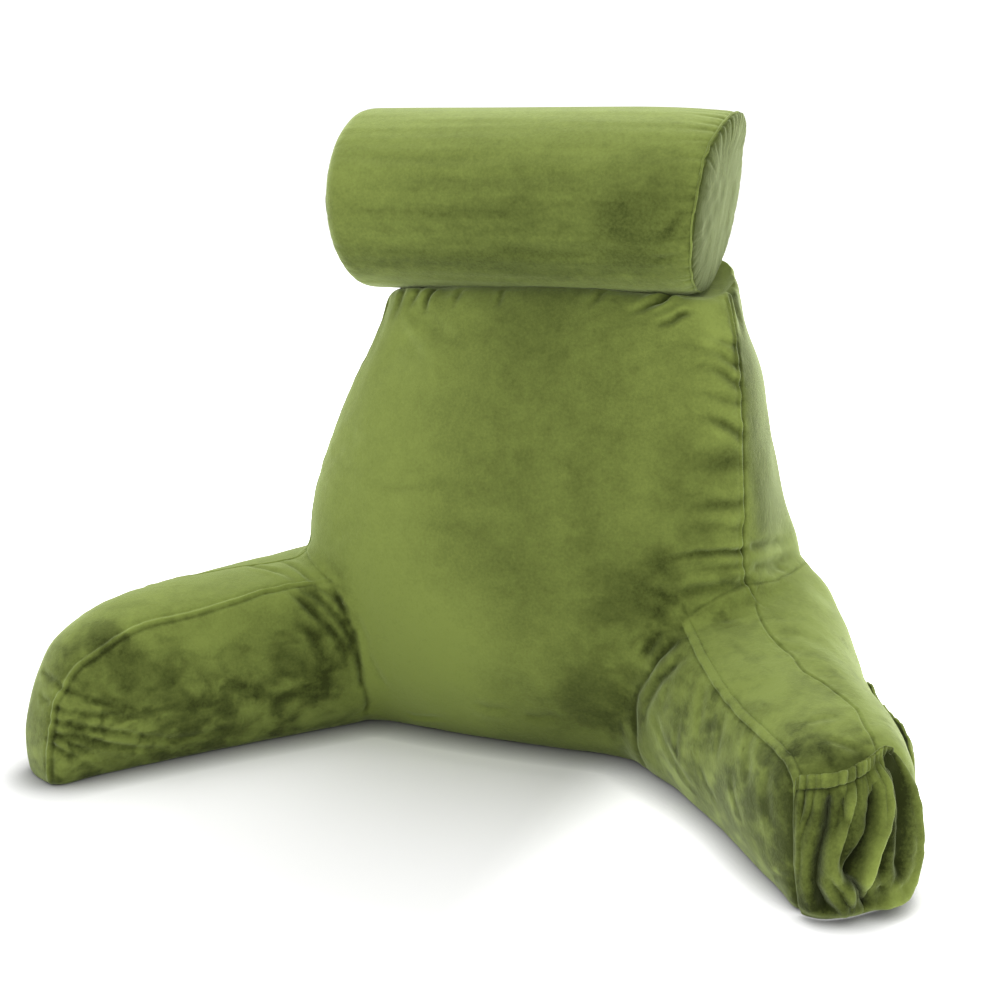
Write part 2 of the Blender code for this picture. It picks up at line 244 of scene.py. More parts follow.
def blown_up(obj, pinned, shrink):
    """Swells the form with air pressure, held at its seams, and caps the movement."""
    start = coords(obj.data)
    set_coords(obj.data, start - normals(obj.data) * SWELL_FROM * (1 - pinned)[:, None])
    group = obj.vertex_groups.new(name="held")
    for i in np.where(pinned > 0.02)[0]:
        group.add([int(i)], float(pinned[i]), "REPLACE")
    cloth = obj.modifiers.new("Cloth", "CLOTH")
    cloth.settings.quality = 5
    cloth.settings.mass = 0.25
    cloth.settings.use_pressure = True
    cloth.settings.uniform_pressure_force = 4.0
    cloth.settings.tension_stiffness = 12.0
    cloth.settings.compression_stiffness = 12.0
    cloth.settings.shear_stiffness = 6.0
    cloth.settings.bending_stiffness = 0.4
    cloth.settings.shrink_min = shrink
    cloth.settings.vertex_group_mass = "held"
    cloth.settings.pin_stiffness = 1.0
    cloth.settings.effector_weights.gravity = 0.0
    cloth.collision_settings.use_collision = False
    cloth.collision_settings.use_self_collision = False
    cloth.point_cache.frame_start = 1
    cloth.point_cache.frame_end = 20
    for number in range(1, 21):
        scene.frame_set(number)
    graph = bpy.context.evaluated_depsgraph_get()
    blown = bpy.data.meshes.new_from_object(obj.evaluated_get(graph))
    end = coords(blown)
    obj.modifiers.clear()
    obj.vertex_groups.clear()
    bpy.data.meshes.remove(blown)
    scene.frame_set(1)
    moved = end - start
    size = np.linalg.norm(moved, axis=1)
    share = np.minimum(1.0, SWELL_CAP / np.maximum(size, 1e-9))
    set_coords(obj.data, start + moved * share[:, None])


# ---- seams --------------------------------------------------------------------------------
# Each seam is a list of places, put on the nearest surface of the cover.
XYZ = ("x", "y", "z")
FRONT_SEAM_RIGHT = (
    (0.222, 0.070, 0.545), (0.229, 0.058, 0.515), (0.234, 0.053, 0.492), (0.243, 0.038, 0.448),
    (0.247, 0.030, 0.414), (0.250, 0.026, 0.382), (0.254, 0.021, 0.342), (0.258, 0.017, 0.299),
    (0.258, 0.015, 0.267), (0.258, 0.015, 0.242), (0.263, 0.021, 0.216), (0.272, 0.024, 0.197),
)
FRONT_SEAM_LEFT = (
    (-0.176, 0.092, 0.545), (-0.184, 0.066, 0.515), (-0.192, 0.054, 0.480),
    (-0.216, 0.046, 0.430), (-0.244, 0.042, 0.370), (-0.264, 0.040, 0.310),
    (-0.277, 0.038, 0.250), (-0.284, 0.032, 0.205),
)
S_OFF_Z = ("s", "off", "z")
INNER_SEAM_RIGHT = (
    (0.041, 0.016, 0.181), (0.076, 0.011, 0.166), (0.110, 0.005, 0.156), (0.147, -0.001, 0.147),
    (0.185, -0.006, 0.141), (0.220, -0.010, 0.138), (0.272, -0.013, 0.135), (0.303, -0.015, 0.128),
    (0.322, -0.020, 0.117), (0.331, -0.027, 0.103),
)
INNER_SEAM_LEFT = (
    (0.062, 0.030, 0.184), (0.096, 0.034, 0.181), (0.136, 0.030, 0.178), (0.201, 0.021, 0.168),
    (0.259, 0.021, 0.162), (0.294, 0.016, 0.152), (0.330, 0.013, 0.135), (0.351, 0.011, 0.120),
    (0.359, 0.008, 0.106), (0.369, 0.009, 0.093), (0.376, 0.002, 0.063), (0.381, 0.003, 0.031),
    (0.382, 0.007, 0.006),
)
OUTER_SEAM_RIGHT = (
    (0.052, 0.094, 0.197), (0.075, 0.088, 0.187), (0.101, 0.083, 0.178), (0.145, 0.081, 0.170),
    (0.183, 0.074, 0.165), (0.222, 0.077, 0.163), (0.269, 0.074, 0.160), (0.301, 0.064, 0.155),
    (0.322, 0.059, 0.149), (0.334, 0.056, 0.140), (0.342, 0.054, 0.118),
)
OUTER_SEAM_LEFT = (
    (0.040, 0.094, 0.200), (0.075, 0.100, 0.188), (0.143, 0.102, 0.184), (0.220, 0.100, 0.180),
    (0.290, 0.094, 0.172), (0.330, 0.088, 0.156), (0.352, 0.082, 0.128), (0.364, 0.078, 0.080),
    (0.368, 0.076, 0.010),
)
ARM_BACK_RIGHT = (  # where the arm's top panel is sewn to the back
    (0.206, -0.019, 0.182), (0.223, -0.009, 0.197), (0.242, 0.002, 0.209), (0.263, 0.022, 0.216),
    (0.283, 0.057, 0.213), (0.297, 0.091, 0.214), (0.302, 0.116, 0.215), (0.300, 0.150, 0.208),
)
ARM_BACK_LEFT = (
    (-0.206, -0.022, 0.178), (-0.220, -0.020, 0.186), (-0.240, -0.008, 0.194),
    (-0.262, 0.014, 0.200), (-0.284, 0.052, 0.206), (-0.298, 0.090, 0.210),
    (-0.302, 0.120, 0.212), (-0.300, 0.150, 0.206),
)
CREASE_RIGHT = (
    (0.207, -0.032, 0.168), (0.187, -0.039, 0.149), (0.173, -0.038, 0.128),
    (0.161, -0.031, 0.104), (0.154, -0.026, 0.084), (0.157, -0.022, 0.055), (0.166, -0.012, 0.028),
    (0.168, -0.004, 0.006),
)
CREASE_LEFT = (
    (-0.217, -0.017, 0.179), (-0.198, -0.022, 0.152), (-0.184, -0.019, 0.111),
    (-0.181, -0.014, 0.070), (-0.179, -0.003, 0.035), (-0.180, 0.004, 0.006),
)
REAR_SEAM_RIGHT = (  # rear panel to side panel, and on down the rear of the arm
    (0.200, 0.150, 0.545), (0.212, 0.190, 0.500), (0.232, 0.205, 0.420), (0.256, 0.214, 0.330),
    (0.276, 0.222, 0.250), (0.300, 0.220, 0.180), (0.318, 0.212, 0.110), (0.326, 0.205, 0.040),
    (0.328, 0.200, 0.006),
)


def mirrored(points):
    return tuple((-x, y, z) for x, y, z in points)


def seams_on(tree):
    """Every seam as a dense line on the surface."""

    def snapped(points, easing=3):
        line = spline(points, 0.003)
        found = np.array([tuple(tree.find_nearest(Vector(p))[0]) for p in line])
        for _ in range(easing):
            found[1:-1] = 0.5 * found[1:-1] + 0.25 * (found[:-2] + found[2:])
        return np.array([tuple(tree.find_nearest(Vector(p))[0]) for p in found])

    def by_arm(table, side):
        return [arm_point(side, s, off, z) for s, off, z in table]

    return {
        "front_right": snapped(FRONT_SEAM_RIGHT),
        "front_left": snapped(FRONT_SEAM_LEFT),
        "inner_right": snapped(by_arm(INNER_SEAM_RIGHT, 1)),
        "inner_left": snapped(by_arm(INNER_SEAM_LEFT, -1)),
        "outer_right": snapped(by_arm(OUTER_SEAM_RIGHT, 1)),
        "outer_left": snapped(by_arm(OUTER_SEAM_LEFT, -1)),
        "arm_back_right": snapped(ARM_BACK_RIGHT),
        "arm_back_left": snapped(ARM_BACK_LEFT),
        "crease_right": snapped(CREASE_RIGHT),
        "crease_left": snapped(CREASE_LEFT),
        "rear_right": snapped(REAR_SEAM_RIGHT),
        "rear_left": snapped(mirrored(REAR_SEAM_RIGHT)),
    }


# A seam's section, as bells across it. at: sideways from the seam's line, positive to the
# left of its run as seen from outside. lift: how far out. width: of the bell. The last column
# is painted shade in the grooves and painted highlight on the raised parts, darker positive.
# All in millimetres but the last.
SEAM_COLUMNS = ("at", "lift", "width", "nap")
CORDED = ((0.0, -1.6, 7.0, 0.04), (0.4, 1.4, 1.9, -0.16), (-2.6, -1.3, 1.7, 0.30), (3.2, -0.3, 1.8, 0.00))
CORDED_LEFT = ((0.0, -1.2, 8.0, 0.03), (0.0, 2.3, 2.0, -0.26), (-4.0, -1.4, 2.2, 0.34), (3.6, -0.6, 2.0, 0.05))
CHANNEL = ((0.0, -1.2, 6.0, 0.0), (0.0, -1.5, 1.5, 0.34), (2.8, 0.7, 1.6, -0.12), (-2.6, 0.4, 1.6, -0.06))
SHALLOW = ((0.0, -0.8, 5.0, 0.03), (0.0, -1.1, 1.7, 0.24), (3.0, 0.5, 2.0, -0.08))
CREASE = ((0.0, -3.4, 9.0, 0.14), (0.0, -2.6, 3.6, 0.56))
CREASE_SOFT = ((0.0, -2.6, 9.0, 0.10), (0.0, -2.0, 4.0, 0.34))
SEAM_KINDS = (  # name, section, how uneven, pucker in mm
    ("front_right", CORDED, 2.4, 0.6),
    ("front_left", CORDED, 1.0, 0.6),
    ("inner_left", CORDED_LEFT, 0.8, 0.4),
    ("outer_right", CHANNEL, 0.8, 0.5),
    ("outer_left", CHANNEL, 0.8, 0.5),
    ("arm_back_right", SHALLOW, 0.8, 0.4),
    ("arm_back_left", SHALLOW, 0.8, 0.4),
    ("crease_right", CREASE_SOFT, 1.5, 0.4),
    ("crease_left", CREASE, 1.5, 0.4),
    ("rear_right", CHANNEL, 0.8, 0.7),
    ("rear_left", CHANNEL, 0.8, 0.7),
)
# The right arm's inner top seam is felled flat: a raised band with a stitched outer edge.
BAND_HALF, BAND_LIFT = 0.0046, 0.0009


def across(offset, direction, outward):
    """Signed distance across a line that lies on the surface."""
    side = np.cross(direction, outward)
    side /= np.maximum(np.linalg.norm(side, axis=1), 1e-9)[:, None]
    return (offset * side).sum(axis=1)


def seam_relief(places, outward, lines):
    lift, nap = np.zeros(len(places)), np.zeros(len(places))
    for order, (name, section, uneven, pucker) in enumerate(SEAM_KINDS):
        index, gap, along, offset, direction, total = near_line(places, lines[name], 0.022)
        x = across(offset, direction, outward[index]) * 1000
        x = x + uneven * 0.7 * line_noise(along, 0.016, 11 + order)
        ends = smooth_step(along / 0.015) * smooth_step((total - along) / 0.015)
        ends = 0.25 + 0.75 * ends
        fade = ends * smooth_step((0.022 - gap) / 0.006)
        strength = 1 + 0.25 * line_noise(along, 0.024, 31 + order)
        for at, height, width, dark in section:
            form = bell(x - at, width)
            lift[index] += height * 0.001 * form * fade * strength
            # painted shade in the seam's grooves and painted highlight on its raised parts
            nap[index] += dark * form * fade
        if pucker:
            wave = line_noise(along, 0.009, 51 + order)
            lift[index] += pucker * 0.001 * wave * bell(x, 7.0) * fade * (1 - bell(x, 1.6))
            # painted highlight on the puckers' crowns and painted shade between them
            nap[index] -= 0.10 * wave * bell(x, 7.0) * fade
    index, gap, along, offset, direction, total = near_line(places, lines["inner_right"], 0.020)
    x = across(offset, direction, outward[index]) + 0.0004 * line_noise(along, 0.012, 71)
    ends = smooth_step((along + 0.002) / 0.006) * smooth_step((total - along + 0.004) / 0.010)
    band = smooth_step((BAND_HALF - np.abs(x)) / 0.0014 + 0.5)
    lift[index] += ends * (BAND_LIFT * band - 0.0012 * bell(x, 0.012))
    lift[index] += ends * 0.0003 * band * line_noise(along, 0.020, 73)
    lift[index] -= ends * 0.0009 * bell(x + BAND_HALF + 0.0004, 0.0013)
    lift[index] -= ends * 0.0011 * bell(x - BAND_HALF - 0.0012, 0.0018)
    # painted highlight on the felled band, painted shade along its folded edge and in the stitch groove
    nap[index] += ends * (-0.12 * band + 0.30 * bell(x + BAND_HALF, 0.0010) + 0.26 * bell(x - BAND_HALF - 0.0014, 0.0018))
    return lift, nap


# ---- folds and puckers ---------------------------------------------------------------------
# Soft troughs with a ridge on each side. panel says how the points lie: front and rear are
# (x, z), in and top are (s, z) and (s, off) of an arm, and body is (x, y, z).
# fade: "end" dies out towards the last point, "both" towards both ends.
FOLD_COLUMNS = ("panel", "depth_mm", "width_mm", "fade", "points")
FOLDS = (
    # under the roll
    ("front", 7.0, 5.0, "end", ((0.172, 0.522), (0.143, 0.508), (0.114, 0.499))),
    ("front", 3.4, 4.5, "end", ((0.186, 0.503), (0.169, 0.495), (0.148, 0.486))),
    ("front", 3.0, 5.0, "end", ((-0.143, 0.518), (-0.150, 0.492), (-0.159, 0.471))),
    ("front", 3.0, 4.5, "end", ((-0.105, 0.516), (-0.109, 0.501), (-0.111, 0.488))),
    ("front", 2.6, 4.5, "end", ((-0.122, 0.516), (-0.131, 0.502), (-0.137, 0.487))),
    ("front", 2.0, 4.5, "end", ((-0.071, 0.516), (-0.075, 0.504), (-0.080, 0.496))),
    ("front", 2.0, 4.5, "end", ((0.094, 0.520), (0.086, 0.510), (0.076, 0.505))),
    ("front", 1.5, 4.0, "end", ((-0.020, 0.518), (-0.021, 0.507), (-0.023, 0.499))),
    # puckers that run in from the right seam of the front panel
    ("front", 1.7, 5.0, "end", ((0.237, 0.470), (0.217, 0.478), (0.192, 0.489))),
    ("front", 2.0, 5.5, "end", ((0.240, 0.449), (0.215, 0.466), (0.180, 0.473))),
    ("front", 2.0, 5.5, "end", ((0.243, 0.431), (0.220, 0.446), (0.184, 0.452))),
    ("front", 1.6, 5.0, "end", ((0.245, 0.412), (0.223, 0.420), (0.196, 0.424))),
    ("front", 3.2, 6.5, "end", ((0.248, 0.381), (0.232, 0.390), (0.215, 0.396), (0.194, 0.398))),
    ("front", 2.0, 12.0, "end", ((0.250, 0.352), (0.225, 0.350), (0.188, 0.353))),
    ("front", 2.4, 7.5, "end", ((0.254, 0.306), (0.228, 0.306), (0.196, 0.302))),
    ("front", 1.6, 7.0, "end", ((0.257, 0.281), (0.230, 0.284), (0.188, 0.278))),
    ("front", 3.6, 4.4, "end", ((0.259, 0.255), (0.228, 0.256), (0.195, 0.251), (0.166, 0.242))),
    ("front", 1.5, 5.0, "end", ((0.260, 0.238), (0.235, 0.239), (0.202, 0.231))),
    ("front", 4.0, 8.0, "end", ((0.262, 0.219), (0.232, 0.216), (0.198, 0.212), (0.150, 0.212))),
    # the front panel
    ("front", 1.5, 6.0, "both", ((-0.188, 0.150), (-0.176, 0.126), (-0.165, 0.108))),
    ("front", 1.7, 7.0, "both", ((-0.174, 0.104), (-0.164, 0.079), (-0.150, 0.048))),
    ("front", 1.6, 5.0, "both", ((-0.140, 0.020), (-0.106, 0.022), (-0.080, 0.029))),
    ("front", 1.2, 8.0, "both", ((-0.045, 0.057), (-0.017, 0.052), (0.013, 0.055))),
    ("front", 1.1, 8.0, "both", ((0.015, 0.046), (0.042, 0.047), (0.070, 0.054))),
    ("front", 2.4, 6.0, "both", ((0.186, 0.175), (0.170, 0.151), (0.157, 0.127))),
    ("front", 0.5, 9.0, "both", ((-0.128, 0.262), (-0.066, 0.266), (0.017, 0.275), (0.073, 0.283))),
    ("front", 0.6, 8.0, "both", ((-0.034, 0.206), (0.007, 0.206), (0.053, 0.210), (0.118, 0.205))),
    ("front", 0.7, 6.0, "both", ((-0.190, 0.303), (-0.119, 0.305), (-0.056, 0.314))),
    ("front", 0.7, 18.0, "both", ((0.088, 0.390), (0.092, 0.319), (0.104, 0.270), (0.106, 0.200))),
    # the right arm's root, side panel and hollow behind the roll's end
    ("body", 2.8, 8.0, "both", ((0.228, -0.052, 0.163), (0.203, -0.058, 0.142), (0.186, -0.052, 0.121), (0.175, -0.045, 0.099), (0.169, -0.040, 0.080), (0.169, -0.036, 0.052))),
    ("in_right", 0.6, 8.0, "both", ((0.078, 0.142), (0.072, 0.124), (0.068, 0.100), (0.069, 0.084))),
    ("body", 1.9, 6.0, "end", ((0.266, 0.031, 0.258), (0.281, 0.069, 0.252), (0.285, 0.162, 0.239))),
    ("body", 2.3, 6.5, "end", ((0.268, 0.036, 0.233), (0.285, 0.091, 0.228), (0.291, 0.159, 0.219))),
    ("body", 1.8, 5.0, "both", ((0.271, 0.046, 0.222), (0.285, 0.076, 0.222), (0.293, 0.100, 0.217))),
    ("body", 9.0, 8.0, "end", ((0.200, 0.120, 0.548), (0.227, 0.082, 0.519), (0.238, 0.072, 0.496), (0.240, 0.061, 0.470))),
    # the right arm
    ("in_right", 0.8, 7.0, "both", ((0.118, 0.149), (0.138, 0.117), (0.148, 0.088))),
    ("in_right", 0.7, 6.0, "both", ((0.172, 0.134), (0.184, 0.107), (0.187, 0.083))),
    ("in_right", 1.0, 8.0, "both", ((0.224, 0.140), (0.240, 0.114), (0.264, 0.082))),
    ("in_right", 1.0, 8.0, "both", ((0.281, 0.124), (0.289, 0.092), (0.312, 0.060))),
    ("in_right", 1.1, 7.0, "both", ((0.040, 0.096), (0.060, 0.078), (0.082, 0.060), (0.118, 0.042), (0.150, 0.026))),
    ("in_right", 1.0, 3.2, "both", ((0.293, 0.016), (0.320, 0.029), (0.337, 0.036))),
    ("in_right", 0.6, 5.0, "both", ((0.108, 0.102), (0.104, 0.071), (0.116, 0.050))),
    ("in_right", 0.7, 6.0, "both", ((0.220, 0.092), (0.235, 0.066), (0.257, 0.046))),
    ("in_right", 0.6, 5.0, "both", ((0.150, 0.070), (0.170, 0.052), (0.196, 0.040))),
    ("top_right", 1.1, 4.5, "both", ((0.056, 0.044), (0.062, 0.059), (0.062, 0.078))),
    ("top_right", 1.4, 5.0, "both", ((0.300, 0.020), (0.318, 0.033), (0.332, 0.044))),
    ("top_right", 1.0, 6.0, "both", ((0.270, 0.018), (0.276, 0.035), (0.284, 0.052))),
    ("top_right", 0.8, 6.0, "both", ((0.108, 0.076), (0.137, 0.086), (0.152, 0.104))),
    # the left arm's inner panel: a fan of wrinkles from its front foot
    ("in_left", 2.0, 4.5, "end", ((0.362, 0.108), (0.336, 0.095), (0.308, 0.082), (0.270, 0.070))),
    ("in_left", 1.9, 4.5, "end", ((0.368, 0.086), (0.338, 0.077), (0.303, 0.069), (0.258, 0.058))),
    ("in_left", 2.4, 5.0, "end", ((0.371, 0.073), (0.339, 0.063), (0.294, 0.047), (0.247, 0.031), (0.196, 0.029), (0.150, 0.030))),
    ("in_left", 2.0, 4.2, "end", ((0.372, 0.060), (0.348, 0.055), (0.313, 0.037), (0.271, 0.025), (0.227, 0.017))),
    ("in_left", 2.0, 4.0, "end", ((0.374, 0.048), (0.349, 0.030), (0.333, 0.011))),
    ("in_left", 1.9, 4.0, "end", ((0.369, 0.059), (0.340, 0.034), (0.313, 0.012))),
    # and the folds at its root
    ("in_left", 2.2, 5.0, "both", ((0.104, 0.182), (0.078, 0.157), (0.050, 0.123), (0.031, 0.080))),
    ("in_left", 2.6, 5.0, "both", ((0.088, 0.178), (0.061, 0.163), (0.038, 0.131), (0.024, 0.092), (0.019, 0.060), (0.016, 0.034))),
    ("in_left", 2.0, 4.2, "both", ((0.064, 0.178), (0.044, 0.163), (0.029, 0.140))),
    ("in_left", 1.5, 6.5, "both", ((0.100, 0.148), (0.073, 0.120), (0.059, 0.080))),
    ("in_left", 0.8, 9.0, "both", ((0.232, 0.134), (0.211, 0.104), (0.196, 0.066))),
    ("in_left", 0.8, 9.0, "both", ((0.165, 0.112), (0.148, 0.072), (0.140, 0.036))),
    ("top_left", 2.6, 4.5, "both", ((0.081, 0.100), (0.066, 0.043), (0.060, 0.026))),
    ("top_left", 2.2, 5.5, "both", ((0.128, 0.112), (0.093, 0.061), (0.078, 0.033))),
    ("top_left", 1.6, 4.5, "both", ((0.371, 0.056), (0.366, 0.033), (0.360, 0.017))),
    ("top_left", 1.6, 4.5, "both", ((0.378, 0.042), (0.374, 0.024), (0.370, 0.011))),
    # the rear, finished plainly
    ("rear", 2.2, 9.0, "both", ((-0.205, 0.460), (-0.120, 0.440), (-0.040, 0.448))),
    ("rear", 2.0, 9.0, "both", ((0.210, 0.400), (0.130, 0.380), (0.060, 0.392))),
    ("rear", 2.4, 10.0, "both", ((0.255, 0.250), (0.170, 0.240), (0.080, 0.262))),
    ("rear", 2.2, 10.0, "both", ((-0.262, 0.230), (-0.170, 0.214), (-0.090, 0.226))),
    ("rear", 1.8, 8.0, "both", ((-0.060, 0.110), (0.020, 0.096), (0.110, 0.106))),
)


def fold_line(panel, points, tree):
    """The fold's points on the surface, looked for square to its panel."""
    found = []
    for p in spline([tuple(q) + (0.0,) * (3 - len(q)) for q in points], 0.004):
        if panel == "body":
            found.append(tuple(tree.find_nearest(Vector(p))[0]))
            continue
        side = -1 if panel.endswith("left") else 1
        if panel in ("front", "rear"):
            step = 1 if panel == "front" else -1
            start, way = Vector((p[0], -0.6 * step, p[1])), Vector((0, step, 0))
        elif panel.startswith("in"):
            start = arm_point(side, p[0], -0.12, p[1])
            way = Vector((side * ARM_OUT[0], ARM_OUT[1], 0))
        else:
            start, way = arm_point(side, p[0], p[1], 0.5), Vector((0, 0, -1))
        place = tree.ray_cast(start, way)[0]
        if place is not None:
            found.append(tuple(place))
    return np.array(found)


def fold_relief(places, outward, tree):
    lift, nap = np.zeros(len(places)), np.zeros(len(places))
    for order, (panel, depth, width, fade, points) in enumerate(FOLDS):
        line = fold_line(panel, points, tree)
        depth, width = depth * 0.001, width * 0.001
        near = near_line(places, line, 3.4 * width)
        if near is None:
            continue
        index, gap, along, offset, direction, total = near
        x = across(offset, direction, outward[index])
        past = np.sqrt(np.maximum(gap**2 - x**2, 0.0))
        facing = np.array([tuple(tree.find_nearest(Vector(p))[1]) for p in line])
        step = np.clip((along / total * (len(line) - 1)).round().astype(int), 0, len(line) - 1)
        same = smooth_step(((outward[index] * facing[step]).sum(axis=1) - (-0.1 if panel == "body" else 0.25)) / 0.5)
        t = along / total
        strength = smooth_step((1 - t) / (0.75 if fade == "end" else 0.35))
        if fade == "both":
            strength = strength * smooth_step(t / 0.30)
        strength = strength * same * bell(past, width * 0.8)
        strength = strength * (1 + 0.22 * line_noise(along, 0.018, 101 + order))
        x = x + 0.0011 * line_noise(along, 0.014, 201 + order)
        trough = bell(x, width * 0.80)
        ridge = bell(x - 1.65 * width, 0.85 * width) + 0.7 * bell(x + 1.65 * width, 0.85 * width)
        lift[index] += depth * strength * (0.45 * ridge - trough)
        share = min(1.5, depth / 0.0020)
        # painted shade in the fold's trough and painted highlight on its ridges
        nap[index] += strength * share * (0.30 * trough - 0.11 * ridge)
    return lift, nap


# ---- the lie of the nap, with painted shade and painted light ------------------------------
# Patches of the pile's lie with feathered edges; many also carry painted shade (positive) and painted light (negative)
# where the light falls. amount: darker is positive.
NAP_AND_SHADE_COLUMNS = ("x", "y", "z", "radius", "amount")
NAP_AND_SHADE_PATCHES = (
    (0.154, -0.027, 0.222, 0.046, 0.24), (0.150, -0.028, 0.180, 0.050, 0.26),
    (0.125, -0.019, 0.082, 0.052, 0.30), (0.181, -0.026, 0.248, 0.020, 0.30),
    (0.066, -0.016, 0.055, 0.040, 0.22), (-0.003, -0.023, 0.066, 0.046, 0.12),
    (0.190, -0.020, 0.208, 0.030, 0.12), (0.163, -0.034, 0.092, 0.038, 0.22),
    (0.218, 0.015, 0.340, 0.050, 0.20), (0.223, 0.011, 0.392, 0.020, -0.12),
    (-0.213, -0.047, 0.098, 0.034, 0.26), (-0.378, -0.222, 0.136, 0.028, 0.40),
    (-0.346, -0.200, 0.100, 0.036, 0.26), (-0.238, -0.072, 0.052, 0.030, 0.22),
    (-0.258, -0.098, 0.070, 0.023, 0.32), (-0.208, -0.029, 0.030, 0.034, 0.20),
    (-0.310, -0.151, 0.036, 0.036, 0.16), (-0.307, -0.148, 0.133, 0.032, -0.30),
    (-0.194, -0.027, 0.115, 0.015, 0.46), (-0.230, -0.044, 0.164, 0.017, 0.44),
    (-0.326, -0.175, 0.061, 0.020, 0.26), (-0.283, -0.127, 0.082, 0.020, 0.02),
    (-0.396, -0.263, 0.045, 0.022, -0.08), (-0.393, -0.253, 0.099, 0.017, 0.30),
    (-0.266, -0.103, 0.130, 0.026, -0.10), (-0.400, -0.211, 0.159, 0.024, 0.42),
    (-0.416, -0.236, 0.142, 0.014, 0.30), (-0.222, -0.055, 0.066, 0.026, 0.14),
    (0.255, -0.114, 0.132, 0.013, 0.34), (0.254, -0.130, 0.095, 0.011, 0.34),
    (0.264, -0.144, 0.076, 0.018, -0.36), (0.217, -0.085, 0.120, 0.015, -0.36),
    (0.190, -0.060, 0.054, 0.011, -0.44), (0.212, -0.079, 0.034, 0.011, -0.44),
    (0.364, -0.257, 0.097, 0.016, 0.55), (0.334, -0.209, 0.129, 0.014, 0.40),
    (0.265, -0.136, 0.115, 0.009, 0.30), (0.373, -0.257, 0.011, 0.014, 0.50),
    (0.302, -0.182, 0.117, 0.012, -0.06), (0.315, -0.212, 0.075, 0.014, -0.22),
    (0.347, -0.248, 0.051, 0.014, -0.20), (0.239, -0.115, 0.066, 0.012, 0.20),
    (0.366, -0.258, 0.055, 0.024, 0.36), (0.386, -0.206, 0.147, 0.036, 0.34),
    (0.360, -0.190, 0.149, 0.024, 0.20), (0.252, -0.001, 0.191, 0.018, 0.02),
    (0.414, -0.214, 0.145, 0.024, 0.24), (0.238, -0.014, 0.182, 0.014, 0.16),
    (0.350, -0.240, 0.040, 0.060, 0.42), (0.310, -0.200, 0.055, 0.055, 0.22),
    (-0.226, -0.040, 0.140, 0.034, 0.36), (-0.206, -0.026, 0.085, 0.030, 0.30),
    (0.175, -0.030, 0.158, 0.022, 0.22), (0.215, -0.005, 0.262, 0.030, 0.14),
    (0.190, 0.000, 0.300, 0.040, 0.10), (-0.150, 0.034, 0.498, 0.022, 0.24), (0.030, 0.006, 0.480, 0.075, 0.10),
    (0.250, -0.110, 0.060, 0.050, 0.16), (0.290, -0.150, 0.105, 0.045, 0.14), (0.217, -0.070, 0.110, 0.040, 0.12),
    (0.243, 0.002, 0.225, 0.012, 0.30), (0.203, -0.034, 0.164, 0.014, 0.30),
    (0.331, -0.227, 0.094, 0.032, 0.30), (0.309, -0.204, 0.060, 0.036, 0.22), (0.262, -0.005, 0.185, 0.026, 0.14),
    (0.114, -0.020, 0.080, 0.060, 0.14), (-0.384, -0.245, 0.034, 0.026, -0.22), (-0.428, -0.246, 0.132, 0.030, 0.26),
    (-0.347, -0.196, 0.124, 0.020, -0.16), (-0.361, -0.206, 0.141, 0.018, 0.40), (-0.369, -0.216, 0.018, 0.026, -0.24),
    (0.379, -0.238, 0.130, 0.026, 0.46), (0.354, -0.230, 0.123, 0.026, 0.36), (0.384, -0.221, 0.142, 0.022, 0.20),
    (0.348, -0.238, 0.108, 0.024, 0.18), (0.363, -0.259, 0.040, 0.024, 0.28), (0.284, -0.164, 0.039, 0.028, 0.22),
    (0.199, -0.049, 0.143, 0.029, 0.48), (0.085, -0.020, 0.125, 0.042, 0.16), (0.151, -0.019, 0.041, 0.042, 0.26), (-0.098, 0.019, 0.502, 0.028, 0.24),
    (-0.126, 0.032, 0.510, 0.022, 0.14), (0.446, -0.205, 0.136, 0.022, -0.32), (0.221, 0.047, 0.501, 0.034, -0.46),
    (0.231, 0.046, 0.483, 0.026, -0.22), (0.190, 0.051, 0.519, 0.026, -0.22), (0.196, 0.108, 0.519, 0.030, -0.36),
)
NAP_REST = 0.25


def brushed_and_shaded(places, patches, restless):
    """The darkness of the nap: listed patches with feathered edges, which carry painted shade and painted light as
    well as the pile's lie, and mottling.
    """
    warp = np.stack([wave_noise(places, 0.018, seed) for seed in (21, 22, 23)], axis=1)
    feather = np.stack([wave_noise(places, 0.0062, seed) for seed in (24, 25, 26)], axis=1)
    bent = places + 0.0060 * warp + 0.0026 * feather
    nap = np.zeros(len(places))
    for x, y, z, radius, amount in patches:
        gap = np.linalg.norm(bent - np.array((x, y, z)), axis=1)
        close = gap < radius * 1.5
        nap[close] += amount * (1 - smooth_step((gap[close] / radius - 0.40) / 0.95))
    blots = np.tanh(1.7 * wave_noise(bent + 0.004 * warp, (0.034, 0.034, 0.022), 5))
    strokes = np.tanh(2.0 * wave_noise(bent, (0.015, 0.015, 0.008), 6))
    fine = wave_noise(places, 0.0050, 7)
    combed = np.tanh(2.2 * wave_noise(bent + 0.003 * warp, (0.022, 0.022, 0.0055), 8))
    nap += restless * (0.17 * blots + 0.15 * strokes + 0.08 * combed + 0.10 * fine)
    return NAP_REST + nap


def squashed(nap):
    """Eases the darkness towards its limits, so that overlapping patches don't go flat."""
    return 0.5 + 0.62 * np.tanh((nap - 0.5) / 0.62)


